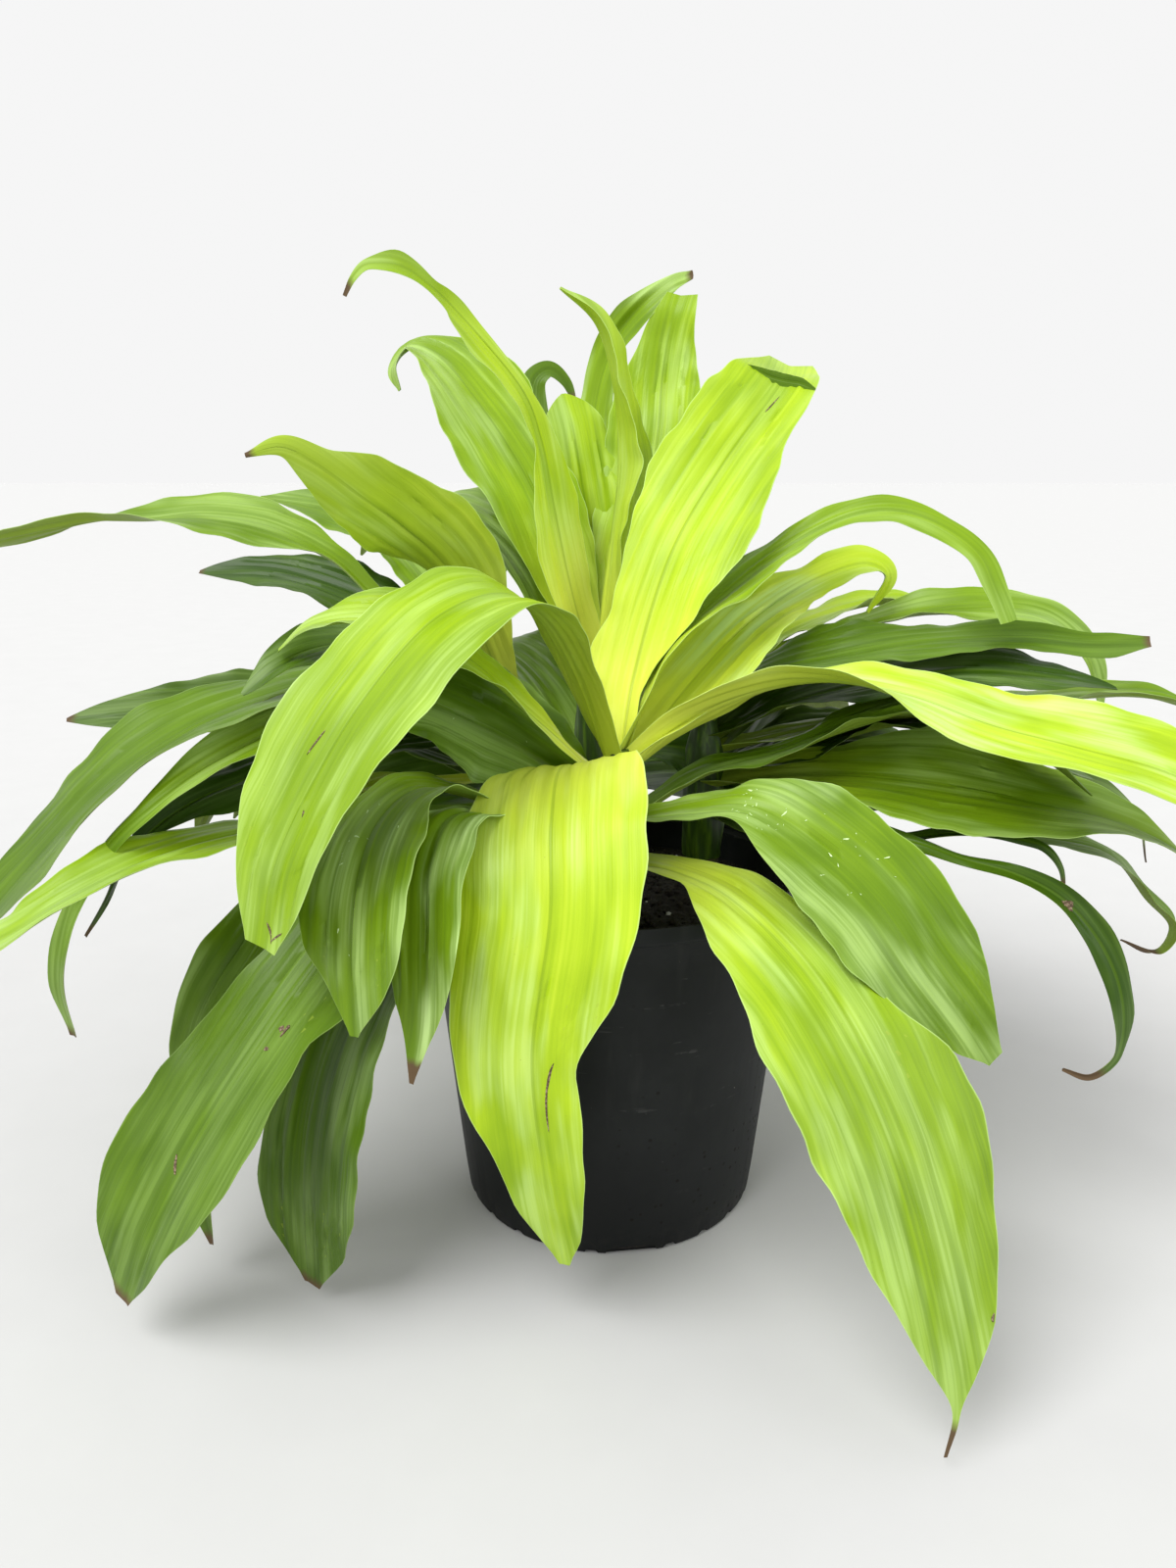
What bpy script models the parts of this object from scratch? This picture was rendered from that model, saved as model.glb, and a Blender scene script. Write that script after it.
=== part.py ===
"""A potted dracaena: a round nursery pot, its soil, four short stems and the leaves that crown them.

Metres, +Z up. The pot stands on Z = 0 with its axis on the Z axis, and the front of the plant faces -Y.
"""
import math
from collections import namedtuple

import bmesh
import bpy
import numpy as np

CM = 0.01

# Pot
POT_HEIGHT = 0.235
POT_BASE_RADIUS = 0.1005
POT_TOP_RADIUS = 0.123
POT_WALL = 0.0022
POT_FLOOR = 0.003
RIM_RADIUS = 0.127
RIM_HEIGHT = 0.012
RIM_STEP = 0.002
BASE_ROUND = 0.003
POT_SIDES = 64
NOTCHES = 24
NOTCH_WIDTH = 0.0085
NOTCH_HEIGHT = 0.004
NOTCH_DEPTH = 0.0045
ARCH_WIDTH = 0.033
ARCH_HEIGHT = 0.0065
ARCH_ANGLE = math.radians(-86)

# Soil
GAP = 0.0003
SOIL_TOP = 0.205
SOIL_RELIEF = 0.003
SOIL_WAVES = (70, 90)
SOIL_RINGS = 5
SOIL_SIDES = 32

# Stems: each stands in a plain hole in the soil and carries one crown of leaves
HOLE_DEPTH = 0.045
STEM_SIDES = 12
STEM_TAPER = 0.05
STEM_RINGS = (0.55, 0.78, 1)
CROWN_FOOT = 0.225
CROWN_SIDES = 10
# Each ring of a crown's core: its share of the stem's radius and of the crown's height
CROWN_RINGS = ((1.1, 0), (1.25, 0.3), (1.05, 0.75), (0.45, 1))
Stem = namedtuple("Stem", "x y radius crown_top")
STEMS = {
    "front": Stem(0.004, -0.035, 0.0130, 0.318),
    "back": Stem(-0.010, 0.068, 0.0125, 0.368),
    "left": Stem(-0.070, 0.036, 0.0120, 0.352),
    "right": Stem(0.065, 0.036, 0.0120, 0.328),
}

# Blades
BLADE_THICKNESS = 0.001
BLADE_STATIONS = 11
MARGIN_STATIONS = 15
BASE_WIDTH = 0.02
TIP_WIDTH = 0.003
BASE_FLARE = 1.3
RIPPLE_WAVES = 2.6
RIPPLE_STEP = 1.7
RIPPLE_SHIFT = 0.9
RIPPLE_SWELL = 0.7
ARCH_STEPS = 6
ARCH_BEND = 1.2
SHARP_EDGE = math.radians(35)

# A leaf: the points its midrib runs through from the stem to the tip, in centimetres; its greatest
# width in centimetres; where along it that width lies; how sharply it narrows to the tip; the angles
# by which its face is turned about the midrib at the stem, the middle and the tip; the angle by which
# its margins are folded up; the height of the waves in its margins in millimetres; its points across;
# and, where the width isn't even, how far the two margins lie from the midrib at even steps along it.
Leaf = namedtuple("Leaf", "route width widest taper turn fold ripple across margins")


def arching(which, heading, height, rise, droop, length=41, **look):
    """A leaf that bends over evenly in its own upright plane: angles in degrees, sizes in centimetres"""
    stem = STEMS[which]
    point = np.array([stem.x / CM, stem.y / CM, height])
    outward = np.array([math.cos(math.radians(heading)), math.sin(math.radians(heading)), 0])
    route = [tuple(point)]
    for k in range(ARCH_STEPS):
        angle = math.radians(rise - droop * ((k + 0.5) / ARCH_STEPS) ** ARCH_BEND)
        point = point + (outward * math.cos(angle) + np.array([0, 0, math.sin(angle)])) * length / ARCH_STEPS
        route.append(tuple(point))
    return leaf(*route, **look)


def leaf(*route, width=6.5, widest=0.5, taper=2.2, turn=(0, 0, 0), fold=12, ripple=4, across=3, margins=()):
    """One row of the leaf lists, with the usual values filled in"""
    return Leaf(route, width, widest, taper, turn, fold, ripple, across, margins)


FRONT_LEAVES = [
    leaf((0, -3.5, 28), (-1.5, -6, 31), (-3, -8.5, 32), (-3.5, -13, 30), (-3.5, -16, 25.5), (-4.5, -17,
         18), (-4, -17, 11), (-3, -16, 4), fold=4, across=5, ripple=2, margins=((1, 2.1, 3.7, 4.5, 5.1,
         5.6, 5.5, 5.4, 5.1, 4.5, 3.9, 3, 2.4, 2.8, 2.7, 2.5, 2.1, 1.6, 0.4), (1, 1.7, 2.8, 4.1, 4.7, 5,
         5.4, 5.6, 5.7, 5.5, 5.3, 5, 4.8, 4.4, 3.2, 2.6, 2.2, 1.3, 0.1))),
    leaf((0, -3.5, 30), (-2, -4.5, 36.5), (-4, -6, 40.3), (-6.3, -8.5, 42), (-9.6, -11, 41), (-13.3, -13.5,
         37), (-15.9, -15.5, 32.7), (-17.6, -17, 28.8), (-18.4, -17.5, 24.5), turn=(0, 8, 5), fold=6,
         across=5, ripple=2, margins=((1, 1.3, 1.8, 2.3, 2.9, 3.4, 3.9, 4.3, 4.6, 4.9, 4.8, 4.7, 4.1, 3.7,
         3.3, 2.7, 0.9), (1, 1.3, 1.8, 2.3, 2.8, 3.3, 3.8, 4.2, 4.4, 4.4, 4.9, 5, 5.1, 4.7, 3.7, 2.9,
         1.6))),
    leaf((0.5, -3, 30.5), (1.5, 0, 36), (4, 3, 43.5), (7.5, 6, 49), (10.8, 8.6, 53.2), (11.7, 9.8, 54.3),
         (12.4, 12, 55), (12.9, 14, 55.7), turn=(0, -12, -20), fold=14, across=5, ripple=2, margins=((1,
         1.3, 2, 3.4, 2.5, 2.8, 3.2, 3.8, 4.3, 4.2, 4.2, 4.3, 3.8, 2.8, 1.6), (1, 1, 0.8, 2, 3.4, 4, 5.2,
         5.3, 4.9, 4.2, 3.3, 2.9, 2.6, 2.2, 1.6))),
    leaf((0.5, -4, 24.5), (3.5, -9, 25.8), (6.5, -13, 25.6), (10.5, -18, 22.5), (14, -21.5, 16), (16.4,
         -24.5, 7.5), (17, -26, 3), (16.5, -26.5, 0.8), across=5, fold=-2, turn=(0, -12, -12), ripple=2,
         margins=((1, 1.5, 2.1, 2.7, 3.1, 3.4, 3.4, 3.3, 3.8, 5.6, 6.3, 5.8, 5.2, 4.3, 3.1, 0.3, 0.1), (1,
         1.2, 1.1, 0.9, 2.4, 3.4, 3.9, 4.8, 5.1, 4.9, 4.6, 4.1, 3.5, 2.7, 1.8, 0.8, 0.1))),
    leaf((0.5, -3.5, 27), (4.4, -7, 29), (8, -10, 30.1), (11.4, -12, 28.4), (14.4, -14, 25.9), (16.9,
         -15.5, 22.4), (19.2, -16, 19.4), (20.8, -16, 17), fold=6, across=5, turn=(0, -35, -30), ripple=2,
         margins=((1, 1.3, 1.7, 1.8, 1.8, 2.4, 3.5, 3.6, 3.7, 4.1, 3.9, 3.8, 2.9, 1.9, 0.9), (1, 1.3, 1.5,
         1.5, 1.3, 2.1, 3.2, 3.4, 3.8, 4.1, 4, 3, 2.2, 1.6, 0.1))),
    leaf((0.5, -3.5, 30), (4.5, -3, 33.5), (9.5, -3.5, 35.7), (13.5, -4, 36.2), (18, -5, 35.5), (22.5,
         -6.5, 34), (27, -8, 33), (32.5, -9, 31.5), (37.5, -10, 28.5), (40, -10, 25.5), width=7.5,
         turn=(60, -25, -40), across=5, widest=0.62),
    leaf((0.5, -3, 30.5), (3.5, 0, 37.4), (7.4, 2, 40.9), (11.2, 3, 43.6), (15.6, 3, 45.8), (18.3, 2.5,
         46.1), (21, 1.5, 45.2), (23.2, 0.5, 43.5), (24.1, -0.5, 41.5), (24.8, -1.5, 39.5), turn=(0, -30,
         -65), ripple=3, margins=((1, 2, 2.6, 2.8, 2.7, 2.1, 1.4, 1.1, 1, 0.8, 0.7, 0.4), (1, 2, 3, 3.5,
         3.4, 2.7, 1.9, 1.4, 1.3, 1.2, 1.1, 0.7))),
    leaf((0.5, -3, 30), (5, 1, 35), (9.5, 4, 39), (14.5, 7, 41.5), (18, 8, 42.3), (19.3, 8, 41.5), (18,
         7.5, 39), turn=(0, -20, -30), margins=((1, 2.2, 3.3, 4, 4.3, 4.2, 3.8, 3, 2.2, 1.7, 1.9, 1.6, 0.8,
         0.2), (1, 2.2, 3.3, 4, 4.3, 4.2, 3.8, 3, 2.2, 1.7, 1.9, 1.6, 0.8, 0.2))),
    leaf((0, -4, 27), (-6.6, -6.8, 29.2), (-11.3, -9.5, 31), (-13.2, -12, 29.8), (-14, -15, 27.3), (-14.1,
         -17, 23.9), (-14, -17.6, 19.5), fold=8, ripple=2, margins=((1, 1.4, 1.9, 2.3, 2.7, 3, 3.2, 4, 4.3,
         4, 3.9, 2.3, 0.2), (1, 1.3, 1.8, 2.2, 2.5, 2.7, 2.8, 2.7, 3, 3.4, 2.8, 1.4, 0.2))),
    leaf((0, -4, 26), (-5.2, -7.8, 28.2), (-9.2, -11.5, 30), (-10.3, -14.3, 28.1), (-10.4, -16, 24.5),
         (-10.5, -17, 20), (-11.1, -17.3, 16.5), fold=8, ripple=2, margins=((1, 1.3, 1.7, 2, 2.3, 2.6, 2.7,
         2.8, 2.6, 2.3, 1.5, 0.6, 0.1), (1, 1.2, 1.4, 1.6, 1.7, 1.6, 1.6, 1.9, 2.3, 2.1, 1.7, 0.8, 0.1))),
    leaf((0, -4, 26), (-6, -5.5, 27.6), (-10.5, -8, 27.3), (-14, -10.5, 25), (-17.3, -13, 21.2), (-20.4,
         -15.5, 17), (-23.2, -17.5, 12.7), (-26, -18, 7.5), (-28, -17.5, 2.5), turn=(0, 20, 25), fold=8,
         across=5, ripple=2, margins=((1, 1.5, 2.2, 2.9, 3.6, 4.1, 4.6, 4.8, 4.9, 3.6, 3.7, 4, 3.8, 3.2, 2,
         1.4, 0.1), (1, 1.5, 2, 2.6, 3, 3.3, 3.5, 3.5, 3.3, 3.6, 4.2, 4.7, 5, 5.1, 4.7, 3.5, 0.8))),
    leaf((0, -4.5, 24.3), (-6, -6.8, 25), (-10.3, -9, 24.9), (-13.3, -10.6, 22.5), (-15.7, -12, 18.5),
         (-17.4, -13, 14), (-18.3, -13.8, 9), (-18.5, -14, 1.2), turn=(0, 20, 30), fold=8, ripple=2,
         margins=((1, 1.5, 2.2, 2.8, 3.5, 4, 4.4, 4.8, 4.9, 5, 5, 3.7, 1), (1, 1.4, 1.9, 2.4, 2.7, 2.9,
         2.9, 2.8, 2.5, 3.1, 3.4, 2.8, 0.1))),
    leaf((0, -3.5, 29), (-3, -5, 32.6), (-5.6, -5.5, 35.1), (-7.6, -5.8, 37.2), (-9.8, -6, 38.9), (-13,
         -5.6, 40.1), (-15.9, -5.2, 40.2), (-18.3, -5, 39.6), (-20, -4.8, 38.2), turn=(0, 20, 20),
         margins=((0.9, 0.9, 0.9, 1, 1.3, 2, 2.8, 3.1, 2.6, 1.3, 0.2), (0.9, 0.9, 0.9, 1, 1.3, 2, 2.8, 3.1,
         2.6, 1.3, 0.2))),
    leaf((0, -3.5, 28), (-5.1, -4.3, 32), (-8.5, -4.8, 34), (-11.9, -5.5, 35.5), (-15.8, -6.5, 35.6),
         width=8.5, turn=(20, 45, 40)),
    leaf((0.5, -3.5, 26.5), (6, -1, 29.5), (11, -1, 31), (16, -1.5, 33), (20.7, -2, 34.2),
         (26, -3, 32), (30, -4, 29), width=5.5),
]

BACK_LEAVES = [
    leaf((-1, 6, 34.5), (-2.8, 4.5, 41.6), (-3.7, 3.5, 46.1), (-4.5, 2.5, 50.4), (-5.5, 1.5, 53.2), (-9.6,
         0, 58), (-10.4, -0.9, 58.7), (-11.5, -1.7, 59.5), (-12.3, -2.4, 59.8), (-13.2, -3.1, 59.8), (-14,
         -3.6, 59.6), (-14.6, -4, 58.9), (-15.1, -4, 58), across=5, turn=(75, 65, 60), ripple=2,
         margins=((1, 1.4, 2, 2.6, 3.1, 3.3, 3, 2.3, 1.7, 1.5, 1.6, 1.8, 1.4, 0.6, 0.8, 0.3, 0.1), (1, 1.3,
         1.6, 1.9, 2.2, 2.3, 2.1, 1.6, 1.1, 0.9, 0.8, 0.8, 0.8, 0.4, 1, 0.3, 0.1))),
    leaf((-1, 7, 34.5), (-3.4, 8.5, 42.5), (-5.8, 11, 48), (-9.4, 14, 53.2), (-12.4, 16, 56.4), (-14.6, 17,
         57.2), (-15.7, 16.5, 55.8), (-15.3, 16, 54.2), across=5, turn=(15, 25, 10), ripple=2, margins=((1,
         1.6, 2.5, 3.5, 4.4, 4.9, 5.1, 5, 4.4, 3.6, 2.4, 1.2, 0.2), (1, 1.5, 2.1, 2.7, 3.1, 3.4, 3.4, 3.8,
         4.6, 4.7, 3.4, 1.8, 0.2))),
    leaf((-1, 7, 35), (-1.2, 11, 42.5), (-1.9, 13, 47.5), (-2.6, 14.5, 51.5), (-3.3, 15.5, 53.9),
         width=5.5, widest=0.6, taper=5),
    leaf((-1, 6.5, 35), (0.1, 8.5, 43.5), (0.7, 9, 49.2), (0.2, 8.5, 54.2), (-1, 8, 57.9),
         (-3.3, 7, 59.9), width=6, fold=35, taper=1.6),
    leaf((-1, 8, 34), (-0.9, 14.5, 44), (-1, 18.5, 52.7), (0.4, 18.5, 57.5), (2.6, 17, 60), (4.7, 17,
         61.6), (6, 16, 62), margins=((1, 1.5, 2, 2.3, 2.4, 2.3, 2.2, 2, 1.6, 1.5, 1.4, 0.9, 0.3), (1, 1.5,
         2, 2.3, 2.4, 2.3, 2.2, 2, 1.6, 1.5, 1.4, 0.9, 0.3))),
    leaf((-0.5, 7.5, 35), (2.4, 11.5, 44.4), (3.6, 14, 51.2), (3.9, 15.5, 54.5), (4.3, 16, 57.4), (4.8, 16,
         59.5), (5.2, 16.5, 60.7), fold=16, turn=(0, -10, -10), margins=((1, 1.5, 2.2, 2.9, 3.4, 3.7, 3.8,
         3.8, 3.7, 3.3, 2.4, 1.8, 1), (1, 1.5, 2.2, 2.9, 3.4, 3.7, 3.8, 3.8, 3.6, 3.3, 2.6, 2, 1.4))),
    leaf((-1, 8.5, 33.5), (-3.7, 16, 46.5), (-5.7, 20, 52.8), (-5.6, 21, 55.3), (-4.5, 21.5, 56), (-3.3,
         21.5, 55.1), (-2.5, 21, 53.5), width=3),
    arching("back", 62, 33, 72, 118, width=7.5),
    arching("back", 106, 32.5, 64, 124, length=43, width=8),
    arching("back", 130, 31, 68, 112, length=40, width=7),
    arching("back", 80, 29.5, 48, 104, length=40, width=8),
    arching("back", 117, 27.5, 40, 108, length=42, width=8),
    leaf((-0.5, 7, 27.5), (2.5, 8.5, 29), (6, 9.5, 28.7), (9.5, 10, 27.3), (12.5, 10, 25.5), width=6,
         turn=(0, -60, -60)),
    arching("back", 154, 26.5, 3, 56, length=36, width=10, widest=0.4, turn=(20, 50, 40)),
    arching("back", 50, 26.3, 2, 56, length=32, width=9, widest=0.35, turn=(-20, -50, -40)),
]

LEFT_LEAVES = [
    leaf((-7, 3.5, 34), (-10, 0, 42.2), (-12.5, -4, 45.5), (-14.3, -7, 47.3), (-16.2, -9, 49), (-17.7, -10,
         49.8), (-19.6, -10, 49.4), across=5, turn=(-10, -45, -80), ripple=2, margins=((1, 1.4, 2, 2.7,
         3.3, 3.6, 3.7, 3.2, 2.8, 2.4, 1, 0.7, 0.1), (1, 1.2, 1.3, 1.4, 1.2, 1.5, 2.7, 2.8, 2.4, 2, 1.4,
         0.5, 0.1))),
    leaf((-7, 4, 34), (-12.2, 5, 37.3), (-15.7, 5, 40.1), (-18.4, 4.5, 42.9), (-22.4, 4, 45), (-26.6, 3.5,
         45.7), (-30, 3, 45.5), (-33.5, 3, 45.4), (-37.7, 3, 44.6), (-41.6, 3, 43.6), turn=(0, 30, -40),
         margins=((1, 0.8, 0.7, 0.7, 0.8, 1.1, 2.3, 2.9, 2.8, 2.1, 1.1, 1.4, 1.3, 0.3), (1, 0.8, 0.7, 0.7,
         0.8, 1.1, 2.3, 2.9, 2.8, 2.1, 1.1, 1.4, 1.3, 0.3))),
    leaf((-7, 4, 33), (-14.5, 10, 37.8), (-20.2, 13, 40), (-25.4, 15, 41.1), (-31.2, 16, 41),
         width=6, turn=(0, 20, 35)),
    leaf((-7, 4.5, 34), (-14.5, 13, 42.8), (-20.7, 16, 45.6), (-26.7, 18, 46.5), width=6,
         turn=(0, 20, 20)),
    leaf((-7, 3.5, 33.3), (-13.5, 0.5, 37.5), (-17.7, -3, 38.2), (-20.2, -5, 37.3), (-22, -6, 35.8),
         turn=(0, 25, 25), width=4.5),
    leaf((-7, 4, 31), (-19.5, 9, 33), (-27.2, 9, 31.8), (-33.5, 8, 31.8), (-38.6, 7, 31.4), width=6.8,
         turn=(0, 35, 45)),
    leaf((-7, 3.5, 31.5), (-12.5, 1.5, 34.8), (-18, -1.5, 35.7), (-21.7, -4.5, 35.1), (-24.7, -6.5, 34.1),
         (-27.5, -8, 32.5), (-30.3, -9, 30.2), (-33.4, -9.5, 27), (-36.2, -10, 24), (-39.1, -10.5, 20.7),
         width=8.5, widest=0.6, turn=(0, 0, 10), across=5),
    leaf((-7, 3, 31.5), (-12, -1, 35.2), (-17.5, -4.5, 34.7), (-20.8, -8, 33.5), (-23.6, -10.5, 32.2),
         (-26, -12, 30.5), (-28.3, -12, 28.5), (-29.8, -12, 26.2), (-31, -12.2, 23.8), (-32, -12.2, 20),
         (-31.7, -12, 16.6), turn=(0, 25, 30), margins=((1, 1.5, 2.2, 2.8, 2.8, 2.4, 1.9, 1.5, 1.1, 0.7,
         0.5, 0.5, 0.8, 0.9, 0.3), (1, 1.5, 2.2, 2.8, 2.8, 2.4, 1.9, 1.5, 1.1, 0.7, 0.5, 0.5, 0.8, 0.9,
         0.3))),
    leaf((-7, 3, 30), (-12, -1, 32.4), (-20.2, -4.5, 31.2), (-22.4, -6.5, 30.6), (-24.5, -7.6, 29.9),
         (-26.7, -8.6, 28.6), (-28.9, -9, 26.2), (-30.1, -9.2, 24), (-31.6, -9.2, 21.7), turn=(0, 25, 35),
         margins=((1, 1.6, 2.2, 2.8, 3.2, 3.3, 3, 2.4, 1.6, 0.9, 0.5, 0.3, 0.1), (1, 1.4, 1.7, 2, 2.2, 2.2,
         2, 1.6, 1.1, 0.7, 0.4, 0.3, 0.1))),
    leaf((-7, 3, 28), (-13.9, -3, 29.2), (-18.4, -6.5, 28), (-22.6, -9, 28), (-26, -12.3, 27.7), (-29.3,
         -15.5, 26.6), (-32.2, -16.5, 25), (-35.3, -15.5, 23.4), (-37.5, -14.5, 21.8), (-37, -13.5, 20),
         width=4.5, taper=3),
    leaf((-7, 3, 26), (-16.5, -2, 25), (-20.8, -5, 21.5), (-22.6, -7, 19), (-24.6, -9, 15.5), (-25.6, -11,
         8), (-25, -11.6, 2), turn=(0, 20, 20)),
    arching("left", 156, 29, 20, 84, length=33, width=7),
    arching("left", 150, 27.5, 20, 74, length=30, width=7),
    arching("left", 136, 26.5, 24, 96, length=42, width=8),
]

RIGHT_LEAVES = [
    leaf((6.5, 3, 27.5), (11, 0.5, 29), (16, -1, 29.4), (21.5, -3, 29.2), (26.4, -4.5, 28.6), (30.5, -5,
         27.8), (33.8, -5.5, 26.5), (36.2, -5.5, 25), width=8.5, turn=(0, -35, 0), across=5),
    leaf((6.5, 3.5, 31.5), (10, 3, 35.2), (14.6, 2, 36.8), (20.7, 2, 37.8), (27.2, 2, 38), (31, 1, 37.8),
         (34.6, 0.5, 38), turn=(0, -25, -55), margins=((1, 1.8, 2.6, 3.1, 3.2, 2.8, 2, 1.7, 1.5, 1.3, 1,
         0.8, 0.8, 0.3), (1, 1.8, 2.6, 3.1, 3.2, 2.8, 2.1, 1.8, 1.7, 1.6, 1.4, 1.1, 1.2, 0.4))),
    leaf((6.5, 3.5, 30.5), (11.7, 3, 33.3), (18, 2, 35.2), (24, 1, 36), (28.7, 0, 35.7),
         (32.6, 0, 35), width=6, turn=(0, -20, -20)),
    leaf((6.5, 4, 31.5), (12.5, 7.5, 36), (19.4, 8.5, 38.3), (26, 8, 39.3), (30.5, 7, 38.8), (33.3, 6, 36),
         (34.3, 5.5, 32.4), turn=(0, -15, -55), width=4.4),
    leaf((6.5, 4, 29.5), (15.3, 4, 31.7), (25, 3, 33), (31, 2, 34), (35.7, 1, 34.2), (40.6, 0, 32.6)),
    leaf((6.5, 4.5, 31), (12.5, 12, 36.5), (19, 14, 38.6), (24, 14, 38.7), (28.5, 13, 37.5), width=6),
    leaf((6.5, 3, 26.5), (12.5, -2, 26.6), (18.6, -6, 26.6), (21.4, -7, 25.8), (24, -8, 25.3), (26.6, -8.7,
         24.1), (28.8, -9, 21.9), (30.5, -9, 19.1), (31.3, -9, 16.5), (31.4, -9, 14.5), (31.1, -9, 13.3),
         (29.7, -9, 12.2), (28, -9, 12.7), margins=((1, 1.1, 1.2, 1.2, 1.1, 0.9, 0.7, 0.5, 0.45, 0.55, 0.6,
         0.7, 0.9, 1, 0.9, 0.8, 0.3, 0.25, 0.1), (1, 1.1, 1.2, 1.2, 1.1, 0.9, 0.7, 0.5, 0.45, 0.55, 0.6,
         0.7, 0.8, 0.9, 0.8, 0.7, 0.3, 0.25, 0.1)), turn=(0, -45, -80)),
    leaf((6.5, 3.5, 27), (18.5, 2.5, 26.5), (27, 0, 25.2), (32.4, -2, 24.5), (34.8, -3, 21.8),
         (36.4, -3.5, 20), (35.7, -3.5, 18.3), (33.3, -3.5, 19), width=4.5),
    leaf((6.5, 4, 27.5), (19.4, 6, 27.7), (29.6, 5, 27.2), (34, 4, 27), (36.5, 3, 25.3),
         (37.3, 2.5, 22.3), width=6),
    leaf((6.5, 3, 25.5), (14, -0.5, 24.9), (23.1, -4.5, 26.7), (25.2, -5.5, 26.6), (26.5, -6.3, 26.3),
         (27.5, -6.5, 25.1), (27.9, -6.5, 23.2), margins=((1, 1.1, 1, 0.9, 0.7, 0.5, 0.4, 0.35, 0.3, 0.1),
         (1, 1.1, 1, 0.9, 0.7, 0.5, 0.4, 0.3, 0.25, 0.1)), turn=(0, -40, -60)),
    leaf((6.5, 4, 30), (10.9, 6.5, 33), (16, 9, 33.8), (21, 11, 33.5), width=6),
    leaf((6.5, 3.5, 28.5), (12, 3, 29.5), (17, 4, 31.2), (22, 3, 32.1), (28.2, 1, 30.2), (32, 0.5, 28.8),
         width=6),
    leaf((6.5, 4, 28.7), (12, 7.5, 30.2), (17, 9, 30.7), (23, 9.5, 30.3), (30, 9.5, 28.5), width=6.5),
    arching("right", 47, 29, 36, 96, width=7),
    arching("right", 24, 27, 20, 62, length=30, width=7),
    arching("right", 64, 27.5, 30, 100, length=40, width=8),
]


def smooth_route(points, count):
    """Points spaced evenly along the smooth curve through the given points"""
    points = np.asarray(points, float)
    padded = np.vstack([2 * points[0] - points[1], points, 2 * points[-1] - points[-2]])
    steps = np.sqrt(np.linalg.norm(np.diff(padded, axis=0), axis=1))
    knots = np.concatenate([[0.0], np.cumsum(steps)])
    fine = []
    for i in range(1, len(padded) - 2):
        k0, k1, k2, k3 = knots[i - 1:i + 3]
        for k in np.linspace(k1, k2, 16, endpoint=i == len(padded) - 3):
            a1 = (k1 - k) / (k1 - k0) * padded[i - 1] + (k - k0) / (k1 - k0) * padded[i]
            a2 = (k2 - k) / (k2 - k1) * padded[i] + (k - k1) / (k2 - k1) * padded[i + 1]
            a3 = (k3 - k) / (k3 - k2) * padded[i + 1] + (k - k2) / (k3 - k2) * padded[i + 2]
            b1 = (k2 - k) / (k2 - k0) * a1 + (k - k0) / (k2 - k0) * a2
            b2 = (k3 - k) / (k3 - k1) * a2 + (k - k1) / (k3 - k1) * a3
            fine.append((k2 - k) / (k2 - k1) * b1 + (k - k1) / (k2 - k1) * b2)
    fine = np.array(fine)
    length = np.concatenate([[0.0], np.cumsum(np.linalg.norm(np.diff(fine, axis=0), axis=1))])
    even = np.linspace(0, length[-1], count)
    return np.column_stack([np.interp(even, length, fine[:, axis]) for axis in range(3)])


def unit(vectors):
    """The vectors at length one"""
    return vectors / np.linalg.norm(vectors, axis=-1, keepdims=True)


def blade_frames(one, count):
    """Centre, side and face directions at even stations along a leaf, carried along without twist"""
    centre = smooth_route(one.route, count) * CM
    along = unit(np.gradient(centre, axis=0))
    outward = centre[-1] - centre[0]
    outward[2] = 0
    side = np.cross(unit(outward), (0, 0, 1))
    sides = []
    for direction in along:
        side = unit(side - np.dot(side, direction) * direction)
        sides.append(side)
    sides = np.array(sides)
    faces = np.cross(sides, along)
    t = np.linspace(0, 1, count)
    angle = np.radians(np.interp(t, (0, 0.5, 1), one.turn))[:, None]
    turned = sides * np.cos(angle) + faces * np.sin(angle)
    return centre, turned, np.cross(turned, along)


def blade_width(one, t):
    """The width of a blade at the share t of its length: narrow at the stem, widest further out"""
    full = one.width * CM
    if t < one.widest:
        return BASE_WIDTH + (full - BASE_WIDTH) * math.sin(math.pi / 2 * t / one.widest) ** BASE_FLARE
    share = (t - one.widest) / (1 - one.widest)
    return TIP_WIDTH + (full - TIP_WIDTH) * (1 - share ** one.taper)


def blade_reach(one, t):
    """How far a blade's left and right margins lie from its midrib at the share t of its length"""
    if one.margins:
        return [CM * np.interp(t, np.linspace(0, 1, len(side)), side) for side in one.margins]
    half = blade_width(one, t) / 2
    return half, half


def blade_surface(one, number, stations, across):
    """The upper face of a blade as a grid of points, and its face direction at each point"""
    centre, side, face = blade_frames(one, stations)
    points = np.zeros((stations, across, 3))
    for i in range(stations):
        t = i / (stations - 1)
        left, right = blade_reach(one, t)
        fold = math.radians(one.fold)
        swell = math.sin(math.pi * t) ** RIPPLE_SWELL
        for j in range(across):
            u = 2 * j / (across - 1) - 1
            half = right if u > 0 else left
            phase = number * RIPPLE_STEP + (RIPPLE_SHIFT if u > 0 else 0)
            wave = one.ripple * 0.001 * swell * u * u * math.sin(2 * math.pi * RIPPLE_WAVES * t + phase)
            out = half * u * math.cos(fold)
            lift = half * abs(u) * math.sin(fold) + wave
            points[i, j] = centre[i] + side[i] * out + face[i] * lift
    return points, face


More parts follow.
